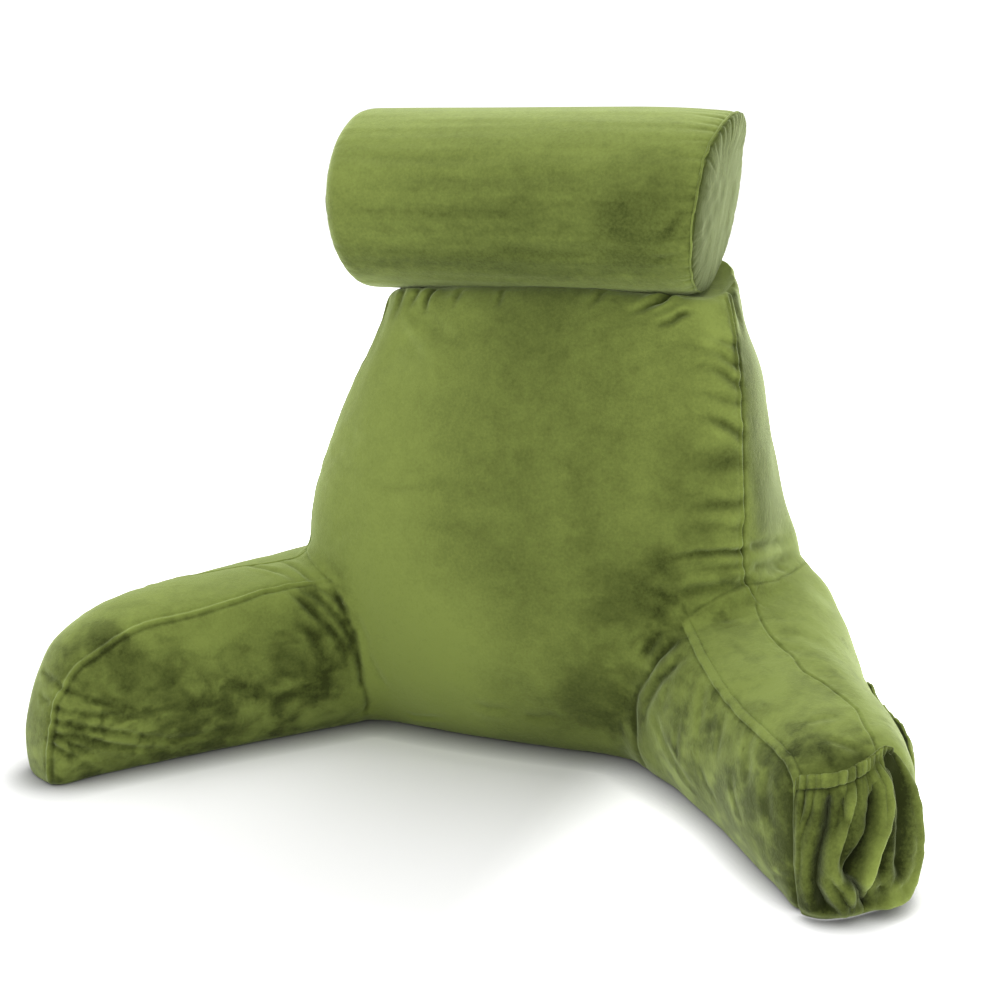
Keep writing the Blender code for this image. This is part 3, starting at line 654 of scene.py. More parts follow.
def restless_cover(places, outward):
    """How mottled the nap is: much on the arms' inner panels, little on the front."""
    x, y, z = places.T
    arm = smooth_step((np.abs(x) - 0.185) / 0.03) * smooth_step((0.205 - z) / 0.03)
    inner = arm * smooth_step((0.30 - outward[:, 2]) / 0.4) * smooth_step((0.05 - y) / 0.06)
    corner = smooth_step((x - 0.05) / 0.12) * smooth_step((0.27 - z) / 0.12) * smooth_step((0.05 - y) / 0.04)
    return 0.30 + 0.30 * arm + np.where(x < 0, 1.0, 0.56) * inner + 0.55 * corner


def stamp(obj, nap):
    """Keeps the darkness of the nap, with the painted shade and light, on the points, for the material."""
    layer = obj.data.attributes.get("nap") or obj.data.attributes.new("nap", "FLOAT", "POINT")
    layer.data.foreach_set("value", squashed(nap).astype(np.float32))


# ---- the plush ---------------------------------------------------------------------------
def plush(name, light, dark, seed, grain=(1.0, 1.0, 1.0), sheen=0.65):
    """Short plush: a colour that shifts with the lie of the nap and with the painted shade and light, a fine pile and
    sheen.
    """
    material = bpy.data.materials.new(name)
    material.use_nodes = True
    nodes, links = material.node_tree.nodes, material.node_tree.links
    shader = nodes["Principled BSDF"]
    shader.inputs["Specular IOR Level"].default_value = 0.10
    shader.inputs["Sheen Weight"].default_value = sheen
    shader.inputs["Sheen Roughness"].default_value = 0.42
    shader.inputs["Sheen Tint"].default_value = (0.80, 0.92, 0.50, 1.0)

    place = nodes.new("ShaderNodeTexCoord")
    shift = nodes.new("ShaderNodeMapping")
    shift.inputs["Location"].default_value = (seed, seed * 0.7, seed * 0.3)
    shift.inputs["Scale"].default_value = grain
    links.new(place.outputs["Object"], shift.inputs["Vector"])

    def noise_at(scale, detail, rough, distortion=0.0):
        made = nodes.new("ShaderNodeTexNoise")
        made.inputs["Scale"].default_value = scale
        made.inputs["Detail"].default_value = detail
        made.inputs["Roughness"].default_value = rough
        made.inputs["Distortion"].default_value = distortion
        links.new(shift.outputs["Vector"], made.inputs["Vector"])
        return made.outputs["Fac"]

    def math_node(operation, a, b):
        made = nodes.new("ShaderNodeMath")
        made.operation = operation
        for socket, value in zip(made.inputs, (a, b)):
            if isinstance(value, (int, float)):
                socket.default_value = value
            else:
                links.new(value, socket)
        return made.outputs["Value"]

    nap = nodes.new("ShaderNodeAttribute")
    nap.attribute_type = "GEOMETRY"
    nap.attribute_name = "nap"
    fine = math_node("MULTIPLY", math_node("SUBTRACT", noise_at(330.0, 3.0, 0.62), 0.5), 0.46)
    soft = math_node("MULTIPLY", math_node("SUBTRACT", noise_at(95.0, 2.0, 0.5, 0.8), 0.5), 0.22)
    mixed = math_node("ADD", math_node("ADD", nap.outputs["Fac"], fine), soft)
    held = nodes.new("ShaderNodeClamp")
    links.new(mixed, held.inputs["Value"])
    blend = nodes.new("ShaderNodeMix")
    blend.data_type = "RGBA"
    blend.inputs["A"].default_value = (*light, 1.0)
    blend.inputs["B"].default_value = (*dark, 1.0)
    links.new(held.outputs["Result"], blend.inputs["Factor"])
    links.new(blend.outputs["Result"], shader.inputs["Base Color"])
    dull = math_node("ADD", math_node("MULTIPLY", held.outputs["Result"], 0.14), 0.80)
    links.new(dull, shader.inputs["Roughness"])

    pile = nodes.new("ShaderNodeBump")
    pile.inputs["Strength"].default_value = 0.40
    pile.inputs["Distance"].default_value = 0.0009
    links.new(noise_at(760.0, 2.0, 0.7), pile.inputs["Height"])
    brush = nodes.new("ShaderNodeBump")
    brush.inputs["Strength"].default_value = 0.22
    brush.inputs["Distance"].default_value = 0.0022
    links.new(noise_at(120.0, 3.0, 0.6, 0.6), brush.inputs["Height"])
    links.new(pile.outputs["Normal"], brush.inputs["Normal"])
    links.new(brush.outputs["Normal"], shader.inputs["Normal"])
    return material


def dressed(obj, material):
    obj.data.materials.clear()
    obj.data.materials.append(material)
    obj.data.polygons.foreach_set("use_smooth", [True] * len(obj.data.polygons))
    obj.data.update()
    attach(obj, "root")


COVER_LIGHT, COVER_DARK = (0.205, 0.258, 0.056), (0.034, 0.044, 0.007)
ROLL_LIGHT, ROLL_DARK = (0.214, 0.269, 0.060), (0.036, 0.047, 0.008)
# the pocket's dark end is deeper than the cover's, for the painted shade in its folds
POCKET_LIGHT, POCKET_DARK = (0.212, 0.266, 0.055), (0.020, 0.026, 0.004)


# ---- building the cover -----------------------------------------------------------------
def out_of_roll(places, spare):
    """Moves places that lie inside the roll straight out to its surface."""
    reach = ROLL_RADIUS + spare
    y, z = places[:, 1] - ROLL_AXIS_Y, places[:, 2] - ROLL_AXIS_Z
    away = np.hypot(y, z)
    past = np.maximum(0.0, np.abs(places[:, 0]) - ROLL_SEAM_X) / (ROLL_HALF + 0.01 - ROLL_SEAM_X)
    here = reach * (1 - 0.35 * np.minimum(past, 1.0) ** 2)
    inside = (away < here) & (np.abs(places[:, 0]) < ROLL_HALF + 0.01)
    grow = here[inside] / np.maximum(away[inside], 1e-9)
    places[inside, 1] = ROLL_AXIS_Y + y[inside] * grow
    places[inside, 2] = ROLL_AXIS_Z + z[inside] * grow
    return places


# The plush's own thickness outside the solid, and where the filling stands fuller (or
# less full) than the plain solid.
PILE = 0.0016
FULLNESS_COLUMNS = ("x", "y", "z", "radius", "lift")
FULLNESS = (
    (-0.437, -0.234, 0.150, 0.060, 0.0060), (-0.419, -0.163, 0.180, 0.060, 0.0030),
    (-0.385, -0.100, 0.188, 0.060, 0.0022), (-0.340, -0.030, 0.192, 0.050, 0.0020),
    (-0.468, -0.262, 0.040, 0.060, 0.0070), (-0.250, 0.030, 0.300, 0.080, 0.0018),
    (0.225, 0.140, 0.552, 0.050, 0.0190), (0.292, 0.150, 0.236, 0.045, 0.0066),
    (0.266, 0.170, 0.330, 0.055, 0.0035), (0.246, 0.160, 0.430, 0.060, 0.0040),
    (0.338, 0.100, 0.200, 0.035, -0.0050), (0.148, 0.000, 0.012, 0.045, 0.0085),
    (0.378, -0.266, 0.012, 0.032, 0.0090),
    (0.180, -0.030, 0.020, 0.035, 0.0030), (0.436, -0.078, 0.120, 0.048, 0.0075),
    (0.452, -0.125, 0.105, 0.040, 0.0040),
)


def fullness(places):
    total = np.full(len(places), PILE)
    for x, y, z, radius, lift in FULLNESS:
        gap = np.linalg.norm(places - np.array((x, y, z)), axis=1)
        total += lift * bell(gap, radius * 0.75)
    return total


POCKET_SEAT = 0.0075  # the filling gives way behind the end pocket's folds


def pocket_seat(places):
    """1 behind the middle of the end pocket, and 0 past its edges and above its mouth."""
    x, y = places[:, 0] - END_CENTRE[0], places[:, 1] - END_CENTRE[1]
    turn = np.degrees(np.arctan2(y, x))
    inside = smooth_step((turn + 97.0) / 12.0) * smooth_step((-20.0 - turn) / 14.0)
    high = 0.124 + 0.010 * smooth_step((turn + 75.0) / 40.0)
    inside = inside * smooth_step((high - places[:, 2]) / 0.014) * smooth_step((places[:, 2] - 0.004) / 0.012)
    return inside * (np.hypot(x, y) > 0.030) * (x + y * -0.9 > 0.0)


def refined(obj, wanted):
    """Halves the faces round the wanted points."""
    mesh = bmesh.new()
    mesh.from_mesh(obj.data)
    edges = [e for e in mesh.edges if wanted[e.verts[0].index] and wanted[e.verts[1].index]]
    bmesh.ops.subdivide_edges(mesh, edges=edges, cuts=1, use_grid_fill=True)
    mesh.to_mesh(obj.data)
    mesh.free()


body = base_cover()
lines = seams_on(tree_of(body))
places = coords(body.data)
pinned = np.zeros(len(places))
for name, line in lines.items():
    near = near_line(places, line, 0.012)
    if near:
        pinned[near[0]] = np.maximum(pinned[near[0]], 1 - smooth_step(near[1] / 0.012))
pinned = np.maximum(pinned, 1 - smooth_step((places[:, 2] - 0.004) / 0.012))
blown_up(body, pinned, 0.0)
modified(body, "SUBSURF", levels=2, render_levels=2)
lines = seams_on(tree_of(body))

places = coords(body.data)
wanted = np.zeros(len(places), bool)
for name, line in lines.items():
    if not name.startswith("crease"):
        near = near_line(places, line, 0.008)
        wanted[near[0]] = True
refined(body, wanted)

places, outward = coords(body.data), normals(body.data)
form_tree = tree_of(body)
seam_lift, seam_nap = seam_relief(places, outward, lines)
fold_lift, fold_nap = fold_relief(places, outward, form_tree)
soft = smooth_step((places[:, 2] - 0.012) / 0.03)
ripple = 0.0013 * wave_noise(places, 0.085, 1) + 0.0007 * wave_noise(places, 0.036, 2)
lift = seam_lift + fold_lift + ripple * soft + fullness(places)
lift -= POCKET_SEAT * pocket_seat(places)
# painted shade along the foot, where the cover meets the floor
edge_nap = 0.16 * bell(places[:, 2], 0.012)
places = places + outward * lift[:, None]
places[:, 2] -= 0.0024 * (1 - smooth_step(places[:, 2] / 0.05))
places = out_of_roll(places, 0.0018)
places[:, 2] = np.maximum(places[:, 2], 0.0)
set_coords(body.data, places)
nap = brushed_and_shaded(places, NAP_AND_SHADE_PATCHES, restless_cover(places, outward)) + seam_nap + fold_nap + edge_nap
under_roll = np.hypot(places[:, 1] - ROLL_AXIS_Y, places[:, 2] - ROLL_AXIS_Z) - ROLL_RADIUS
# painted shade on the cover under the neck roll
nap += 0.28 * bell(np.minimum(under_roll, 1.0), 0.010) * smooth_step((0.20 - places[:, 0]) / 0.05)
x, y, z = places.T
# painted shade across the middle of the front and towards its right, painted light towards its left
front = smooth_step((0.06 - y) / 0.04) * smooth_step((z - 0.12) / 0.10)
nap += front * (0.26 * bell(x - 0.035, 0.095) + 0.11 * smooth_step((x - 0.06) / 0.06) - 0.26 * smooth_step((-x - 0.05) / 0.10))
# painted light low on the front's left
low_left = smooth_step((0.05 - y) / 0.04) * smooth_step((0.26 - z) / 0.14) * smooth_step((0.03 - x) / 0.10)
nap -= 0.54 * low_left * smooth_step((x + 0.20) / 0.03)
# painted shade on the right side panel, above its middle and more near its top
side = smooth_step((x - 0.20) / 0.03) * smooth_step((y - 0.02) / 0.03) * smooth_step((outward[:, 0] - 0.3) / 0.4)
nap += side * (0.64 * smooth_step((z - 0.235) / 0.05) + 0.20 * smooth_step((z - 0.42) / 0.05))
# painted shade on the arms' inner panels, less of it low on the left arm and more high on it
arm = smooth_step((np.abs(x) - 0.190) / 0.03) * smooth_step((0.215 - z) / 0.03)
facing_in = arm * smooth_step((0.45 - outward[:, 2]) / 0.4) * smooth_step((-outward[:, 1] - 0.2) / 0.3)
nap += np.where(x < 0, 0.30 - 0.20 * smooth_step((0.085 - z) / 0.07) + 0.10 * smooth_step((z - 0.115) / 0.03), 0.14) * facing_in
# painted light on the tops of the arms
nap -= arm * smooth_step((outward[:, 2] - 0.5) / 0.3) * np.where(x < 0, 0.04, 0.30)
stamp(body, nap)
modified(body, "DECIMATE", ratio=min(1.0, 194000 / (2 * len(body.data.polygons))))
body.name = "plush_cover_filled"
cover_tree = tree_of(body)
print("cover triangles", sum(len(p.vertices) - 2 for p in body.data.polygons))


def finished(obj, material, slot, *nodes):
    obj.data.transform(Matrix.Translation(HOME))
    dressed(obj, material)
    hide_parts(*nodes)
    return obj


cover_plush = plush("plush_cover", COVER_LIGHT, COVER_DARK, 1.0)
finished(body, cover_plush, "plush_cover", "pillow_body")


# ---- the neck roll --------------------------------------------------------------------------
ROLL_ROUND, ROLL_RINGS, CAP_RINGS = 384, 140, 30
FULL_RADIUS = 0.1004  # with the plush
# For each end: the seam's place and radius, the rounding's length and power, and the
# cap's dome. The left end is drawn in, and the right end stands almost square.
END_LEFT = (0.2229, 0.0720, 0.040, 4.0, 0.0045)
END_RIGHT = (0.2050, 0.0945, 0.150, 4.0, 0.0085)
PLEAT_COUNT = 58
pleats = np.random.default_rng(12)
PLEATS = [
    (
        2 * math.pi * (i + 0.75 * (pleats.random() - 0.5)) / PLEAT_COUNT,
        0.0003 + 0.0010 * pleats.random(),  # depth
        0.0018 + 0.0012 * pleats.random(),  # half width
        0.006 + 0.024 * pleats.random() ** 2,  # length
    )
    for i in range(PLEAT_COUNT)
]


def pleated(angle, inward, side):
    """How far the gathers pull in, at this angle and this far from the end seam."""
    total = np.zeros_like(angle)
    for turn, depth, width, length in PLEATS:
        gap = (angle - turn * side + math.pi) % (2 * math.pi) - math.pi
        gap = gap * 0.090 + 0.10 * inward * math.sin(7 * turn)
        total += depth * bell(gap, width) * np.exp(-((inward / length) ** 2))
    return total


def roll_stations():
    """x, radius and distance from the end seam for each ring, from pole to pole."""
    found = []
    groove = 0.0012
    for side, (seam_x, seam_radius, _, _, dome) in ((-1, END_LEFT), (1, END_RIGHT)):
        cap = []
        for i in range(1, CAP_RINGS + 1):
            t = math.sin(0.5 * math.pi * i / CAP_RINGS)
            fall = math.sqrt(max(0.0, 1 - (t * 0.985) ** 3.4)) if side > 0 else 1 - t * t
            start = seam_x + (groove if side > 0 else 0.0003)
            cap.append((side * (start + dome * fall), seam_radius * t - 0.0012 * t**14,
                        seam_radius * (1 - t), side, True))
        found.append(cap)
    middle = []
    for i in range(ROLL_RINGS + 1):
        t = 2 * i / ROLL_RINGS - 1
        t = 0.45 * t + 0.55 * math.sin(0.5 * math.pi * t)
        seam_x, seam_radius, length, power, _ = END_LEFT if t < 0 else END_RIGHT
        x = t * (seam_x - groove)
        near = seam_x - groove - abs(x)
        share = min(1.0, near / length)
        radius = seam_radius + (FULL_RADIUS - seam_radius) * (1 - (1 - share) ** power)
        radius -= (0.0004 if t < 0 else 0.0009) * math.exp(-((near / 0.0022) ** 2))
        middle.append((x, radius, near, 1 if t >= 0 else -1, False))
    return found[0] + middle + found[1][::-1]


def slumped(places):
    share = np.maximum(0.0, places[:, 0] / ROLL_HALF)
    lean = ROLL_SLUMP * (places[:, 2] - ROLL_SLUMP_ABOUT) + 0.35 * np.maximum(0.0, places[:, 2] - 0.055)
    places[:, 0] += lean * share**5
    return places


def make_roll():
    turns = 2 * math.pi * np.arange(ROLL_ROUND) / ROLL_ROUND
    places, dark = [], []
    stations = roll_stations()
    for x, radius, inward, side, cap in stations:
        arc = np.c_[np.full(ROLL_ROUND, x * 0.35), radius * np.cos(turns), radius * np.sin(turns)]
        pull = pleated(turns, np.full(ROLL_ROUND, inward), side)
        if cap:
            out = -0.9 * pull + 0.0009 * wave_noise(arc * (1, 1, 1) + side, 0.018, 41) * min(1.0, inward / 0.02)
            ring = np.c_[np.full(ROLL_ROUND, x) + side * out, radius * np.cos(turns), radius * np.sin(turns)]
        else:
            away = min(1.0, inward / 0.02)
            wide = 0.0012 * wave_noise(arc, 0.070, 42)
            tight = 0.00035 * wave_noise(np.c_[arc[:, 0] / 0.35, arc[:, 1:]], (0.16, 0.011, 0.011), 43)
            r = radius - pull + away * (wide + tight)
            ring = np.c_[np.full(ROLL_ROUND, x), r * np.cos(turns), r * np.sin(turns)]
        places.append(ring)
        # painted shade in the gathers, and on the end caps: much on the right one, a little on the left
        shade = 0.0 if not cap else 0.82 if side > 0 else 0.14
        dark.append((90.0 if cap else 130.0) * pull + shade)
    places = slumped(np.vstack(places))
    dark = np.concatenate(dark)
    poles = slumped(np.array([(stations[0][0] - 0.0002, 0.0, 0.0), (stations[-1][0] + 0.0002, 0.0, 0.0)]))
    places = np.vstack([places, poles])
    # the same painted shade on the caps at the poles
    dark = np.append(dark, (0.14, 0.82))
    rings = len(stations)
    faces = []
    for j in range(rings - 1):
        a, b = j * ROLL_ROUND, (j + 1) * ROLL_ROUND
        for i in range(ROLL_ROUND):
            k = (i + 1) % ROLL_ROUND
            faces.append((a + i, a + k, b + k, b + i))
    last = (rings - 1) * ROLL_ROUND
    for i in range(ROLL_ROUND):
        k = (i + 1) % ROLL_ROUND
        faces.append((rings * ROLL_ROUND, k, i))
        faces.append((rings * ROLL_ROUND + 1, last + i, last + k))
    places = places + np.array((0.0, ROLL_AXIS_Y, ROLL_AXIS_Z))
    mesh = bpy.data.meshes.new("plush_roll_filled")
    mesh.from_pydata(places.tolist(), [], faces)
    mesh.update()
    made = new_object("plush_roll_filled", mesh)
    return made, dark


# Creases on the roll: the points are (x, turn in degrees up from the front), and the rest
# is as in the folds of the cover.
ROLL_FOLDS = (
    (2.4, 5.0, ((0.196, 2.0), (0.178, -14.0), (0.160, -24.0))),
    (1.4, 4.5, ((0.192, -30.0), (0.170, -34.0), (0.150, -33.0))),
    (0.8, 7.0, ((-0.150, 18.0), (-0.050, 14.0), (0.060, 16.0), (0.150, 12.0))),
    (0.7, 7.0, ((-0.190, 28.0), (-0.090, 26.0), (0.020, 29.0))),
    (0.8, 8.0, ((-0.020, -28.0), (0.060, -30.0), (0.130, -27.0))),
    (0.7, 7.0, ((-0.110, -6.0), (-0.030, -4.0), (0.050, -7.0))),
)
# patches of the pile's lie that also carry painted shade and painted light; amount: darker is positive
ROLL_PATCHES = (
    (0.150, -0.010, 0.575, 0.080, 0.10), (0.158, -0.016, 0.612, 0.066, 0.24),
    (0.060, -0.012, 0.580, 0.100, 0.12), (0.185, -0.012, 0.585, 0.030, -0.10),
    (-0.060, -0.012, 0.580, 0.120, 0.16), (-0.150, -0.010, 0.650, 0.080, -0.06),
)

roll, roll_painted_shade = make_roll()
places, outward = coords(roll.data), normals(roll.data)
lift, nap = np.zeros(len(places)), np.zeros(len(places))
for order, (depth, width, points) in enumerate(ROLL_FOLDS):
    line = []
    for px, degrees, _ in spline([p + (0.0,) for p in points], 2.0):
        a = math.radians(degrees)
        line.append((px, ROLL_AXIS_Y - FULL_RADIUS * math.cos(a), ROLL_AXIS_Z + FULL_RADIUS * math.sin(a)))
    index, gap, along, offset, direction, total = near_line(places, np.array(line), 0.004 * width)
    g = across(offset, direction, outward[index]) * 1000
    t = along / total
    fade = smooth_step(t / 0.2) * smooth_step((1 - t) / 0.4) * bell(np.sqrt(np.maximum(gap**2 - (g / 1000) ** 2, 0)), 0.005)
    lift[index] += 0.001 * depth * fade * (0.4 * bell(g - 1.6 * width, 0.9 * width) + 0.4 * bell(g + 1.6 * width, 0.9 * width) - bell(g, width))
    # painted shade in the crease
    nap[index] += 0.12 * depth * fade * bell(g, width)
set_coords(roll.data, places + outward * lift[:, None])
high = (places[:, 2] - ROLL_AXIS_Z) / ROLL_RADIUS
facing = (ROLL_AXIS_Y - places[:, 1]) / ROLL_RADIUS
nap += brushed_and_shaded(places, ROLL_PATCHES, np.full(len(places), 0.24)) + roll_painted_shade
# painted shade low on the roll's front, painted light on its top
nap += (0.20 + 0.24 * smooth_step((-0.35 - high) / 0.4)) * smooth_step((0.40 - high) / 0.6) * smooth_step(facing) - 0.12 * smooth_step((high - 0.35) / 0.5)
streaks = wave_noise(places, (0.16, 0.009, 0.009), 44) + 0.6 * wave_noise(places, (0.07, 0.0045, 0.0045), 45)
nap += 0.05 * streaks * (np.abs(places[:, 0]) < 0.205)
stamp(roll, nap)
roll_plush = plush("plush_roll", ROLL_LIGHT, ROLL_DARK, 5.0, sheen=0.50)
finished(roll, roll_plush, "plush_roll", "neck_roll")


def make_welt(side, node):
    """The narrow cord at the roll's end seam, in the same plush."""
    seam_x, seam_radius = END_RIGHT[:2] if side > 0 else END_LEFT[:2]
    rounds, ring = ROLL_ROUND, 12
    turns = 2 * math.pi * np.arange(rounds) / rounds
    wobble = line_noise(turns * seam_radius, 0.010, 81 if side > 0 else 82)
    wobble = wobble * smooth_step(turns / 0.4) * smooth_step((2 * math.pi - turns) / 0.4)
    places = []
    for k in range(ring):
        a = 2 * math.pi * k / ring
        thick = (0.0013 if side > 0 else 0.0011) + 0.0002 * wobble
        r = seam_radius - (0.0010 if side > 0 else 0.0018) + thick * math.cos(a)
        places.append(np.c_[side * seam_x + thick * math.sin(a) + 0.0008 * wobble, r * np.cos(turns), r * np.sin(turns)])
    places = slumped(np.vstack(places)) + np.array((0.0, ROLL_AXIS_Y, ROLL_AXIS_Z))
    faces = []
    for k in range(ring):
        a, b = k * rounds, ((k + 1) % ring) * rounds
        for i in range(rounds):
            j = (i + 1) % rounds
            faces.append((a + i, a + j, b + j, b + i))
    mesh = bpy.data.meshes.new(node + "_plush")
    mesh.from_pydata(places.tolist(), [], faces)
    form = bmesh.new()
    form.from_mesh(mesh)
    bmesh.ops.recalc_face_normals(form, faces=form.faces)
    form.to_mesh(mesh)
    form.free()
    made = new_object(node + "_plush", mesh)
    # the welt is made darker: painted shade round the end seam, with mottling
    stamp(made, NAP_REST + 0.20 + 0.14 * wave_noise(coords(mesh), 0.012, 83))
    finished(made, roll_plush, "plush_roll", node)
    return made


make_welt(1, "neck_roll_welt_right")
make_welt(-1, "neck_roll_welt_left")


# ---- the pockets ----------------------------------------------------------------------------
CLOTH = 0.0022


def sheet_piece(name, grid, nap, out):
    """A closed sheet from a grid of points on its outer face, thickened inwards."""
    rows_, columns_ = grid.shape[:2]
    faces = []
    for j in range(rows_ - 1):
        for i in range(columns_ - 1):
            a = j * columns_ + i
            faces.append((a, a + 1, a + columns_ + 1, a + columns_))
    mesh = bpy.data.meshes.new(name)
    mesh.from_pydata(grid.reshape(-1, 3).tolist(), [], faces)
    mesh.update()
    if mesh.polygons[len(faces) // 2].normal.dot(Vector(out)) < 0:
        mesh.flip_normals()
    made = new_object(name, mesh)
    stamp(made, nap.ravel())
    modified(made, "SOLIDIFY", thickness=CLOTH, offset=-1.0, use_even_offset=False)
    return made


END_DIRECTION = -48.0
END_FOOT = 0.0030
# The pocket's edges on the arm's end: height, and the angles of its inner and outer edge.
END_EDGES = (
    (0.000, -91.0, -10.0), (0.030, -94.0, -8.0), (0.050, -96.5, -8.0), (0.078, -98.5, -9.0),
    (0.092, -100.0, -10.5), (0.112, -101.5, -16.0), (0.124, -103.0, -19.5), (0.142, -104.0, -25.0),
)
# The mouth: angle, height, the height whose outline the cloth follows, and how far it
# stands off there.
END_MOUTH = (
    (-103.0, 0.1225, 0.119, 0.0005), (-96.0, 0.1270, 0.121, 0.0035), (-88.0, 0.1305, 0.122, 0.0055),
    (-79.0, 0.1335, 0.124, 0.0065), (-69.0, 0.1368, 0.127, 0.0070), (-58.0, 0.1420, 0.131, 0.0070),
    (-49.0, 0.1462, 0.135, 0.0065), (-42.0, 0.1495, 0.139, 0.0055), (-36.0, 0.1505, 0.140, 0.0040),
    (-30.0, 0.1480, 0.139, 0.0020), (-25.0, 0.1420, 0.137, 0.0005),
)
# Heights that the folds' shares are of, by angle.
END_FOLD_TOPS = ((-97.0, 0.127), (-75.0, 0.129), (-58.0, 0.133), (-43.0, 0.141), (-29.0, 0.149), (-10.0, 0.141))
END_BAG = 0.0190
BAND = 0.0115  # the height of the elastic hem
# The pocket's folds: lift in mm, half width in mm, how much steeper the outer side is
# (negative for the inner side), and points as shares across and up.
END_FOLDS = (
    (-8.0, 2.8, 0.0, ((0.03, 0.90), (0.025, 0.84), (0.02, 0.78), (0.02, 0.71))),
    (-12.0, 6.4, 0.0, ((0.20, 0.94), (0.195, 0.84), (0.19, 0.71), (0.165, 0.61), (0.15, 0.51), (0.14, 0.41), (0.14, 0.30), (0.18, 0.19), (0.22, 0.11))),
    (-5.0, 7.0, 0.0, ((0.165, 0.27), (0.20, 0.16), (0.24, 0.06))),
    (-7.0, 2.6, 0.0, ((0.285, 0.89), (0.295, 0.80), (0.293, 0.70))),
    (-15.0, 5.2, -0.6, ((0.53, 0.88), (0.52, 0.83), (0.50, 0.75), (0.47, 0.66), (0.41, 0.58), (0.345, 0.51), (0.30, 0.46), (0.28, 0.39), (0.30, 0.34), (0.35, 0.30), (0.38, 0.25), (0.40, 0.17), (0.45, 0.06))),
    (-8.0, 6.0, 0.0, ((0.49, 0.86), (0.485, 0.76), (0.46, 0.68), (0.43, 0.60))),
    (-6.0, 5.0, 0.0, ((0.37, 0.55), (0.345, 0.46), (0.335, 0.38))),
    (-7.0, 2.7, 0.0, ((0.64, 0.88), (0.645, 0.81), (0.64, 0.74), (0.61, 0.65))),
    (-13.0, 12.0, 0.0, ((0.72, 1.00), (0.75, 0.92), (0.77, 0.84), (0.775, 0.74), (0.765, 0.65), (0.745, 0.56), (0.72, 0.46), (0.70, 0.37), (0.69, 0.29), (0.70, 0.22))),
    (-9.0, 8.5, 0.0, ((0.65, 0.68), (0.62, 0.58), (0.585, 0.50), (0.55, 0.42), (0.525, 0.34), (0.52, 0.27))),
    (-4.0, 2.6, 0.0, ((0.80, 0.93), (0.83, 0.86), (0.85, 0.79))),
    (-3.5, 3.0, 0.0, ((0.48, 0.24), (0.55, 0.23), (0.60, 0.22))),
    (5.0, 2.8, 0.0, ((-0.01, 0.90), (0.008, 0.78), (0.013, 0.67), (0.016, 0.57), (0.03, 0.47), (0.03, 0.38), (0.03, 0.27), (0.045, 0.18))),
    (5.0, 2.6, 0.4, ((0.074, 0.93), (0.067, 0.85), (0.062, 0.78), (0.04, 0.69), (0.03, 0.59))),
    (6.0, 5.0, 0.0, ((0.12, 0.93), (0.124, 0.80), (0.105, 0.67), (0.085, 0.53), (0.083, 0.39), (0.10, 0.24), (0.145, 0.13))),
    (7.0, 4.4, 0.0, ((0.245, 0.95), (0.236, 0.88), (0.22, 0.74), (0.21, 0.62), (0.20, 0.49), (0.198, 0.35), (0.23, 0.25), (0.285, 0.16), (0.31, 0.06))),
    (10.0, 3.8, 0.9, ((0.37, 0.92), (0.335, 0.84), (0.318, 0.77), (0.288, 0.69), (0.26, 0.60), (0.238, 0.52), (0.237, 0.44), (0.268, 0.37), (0.316, 0.31), (0.33, 0.24), (0.34, 0.15))),
    (7.0, 4.4, 0.0, ((0.49, 0.99), (0.55, 0.92), (0.567, 0.85), (0.555, 0.735), (0.51, 0.63), (0.45, 0.52), (0.41, 0.41), (0.385, 0.31))),
    (10.0, 3.6, 0.9, ((0.60, 0.97), (0.623, 0.88), (0.628, 0.81), (0.616, 0.72), (0.58, 0.64), (0.53, 0.58), (0.473, 0.53), (0.442, 0.46), (0.416, 0.38), (0.407, 0.28), (0.42, 0.16))),
    (7.0, 5.5, 0.0, ((0.82, 0.94), (0.87, 0.84), (0.90, 0.74), (0.91, 0.62), (0.915, 0.48), (0.90, 0.34), (0.85, 0.20), (0.74, 0.12), (0.62, 0.11), (0.50, 0.12))),
)


def table_at(table, column, share):
    return np.interp(share, [row[0] for row in table], [row[column] for row in table])


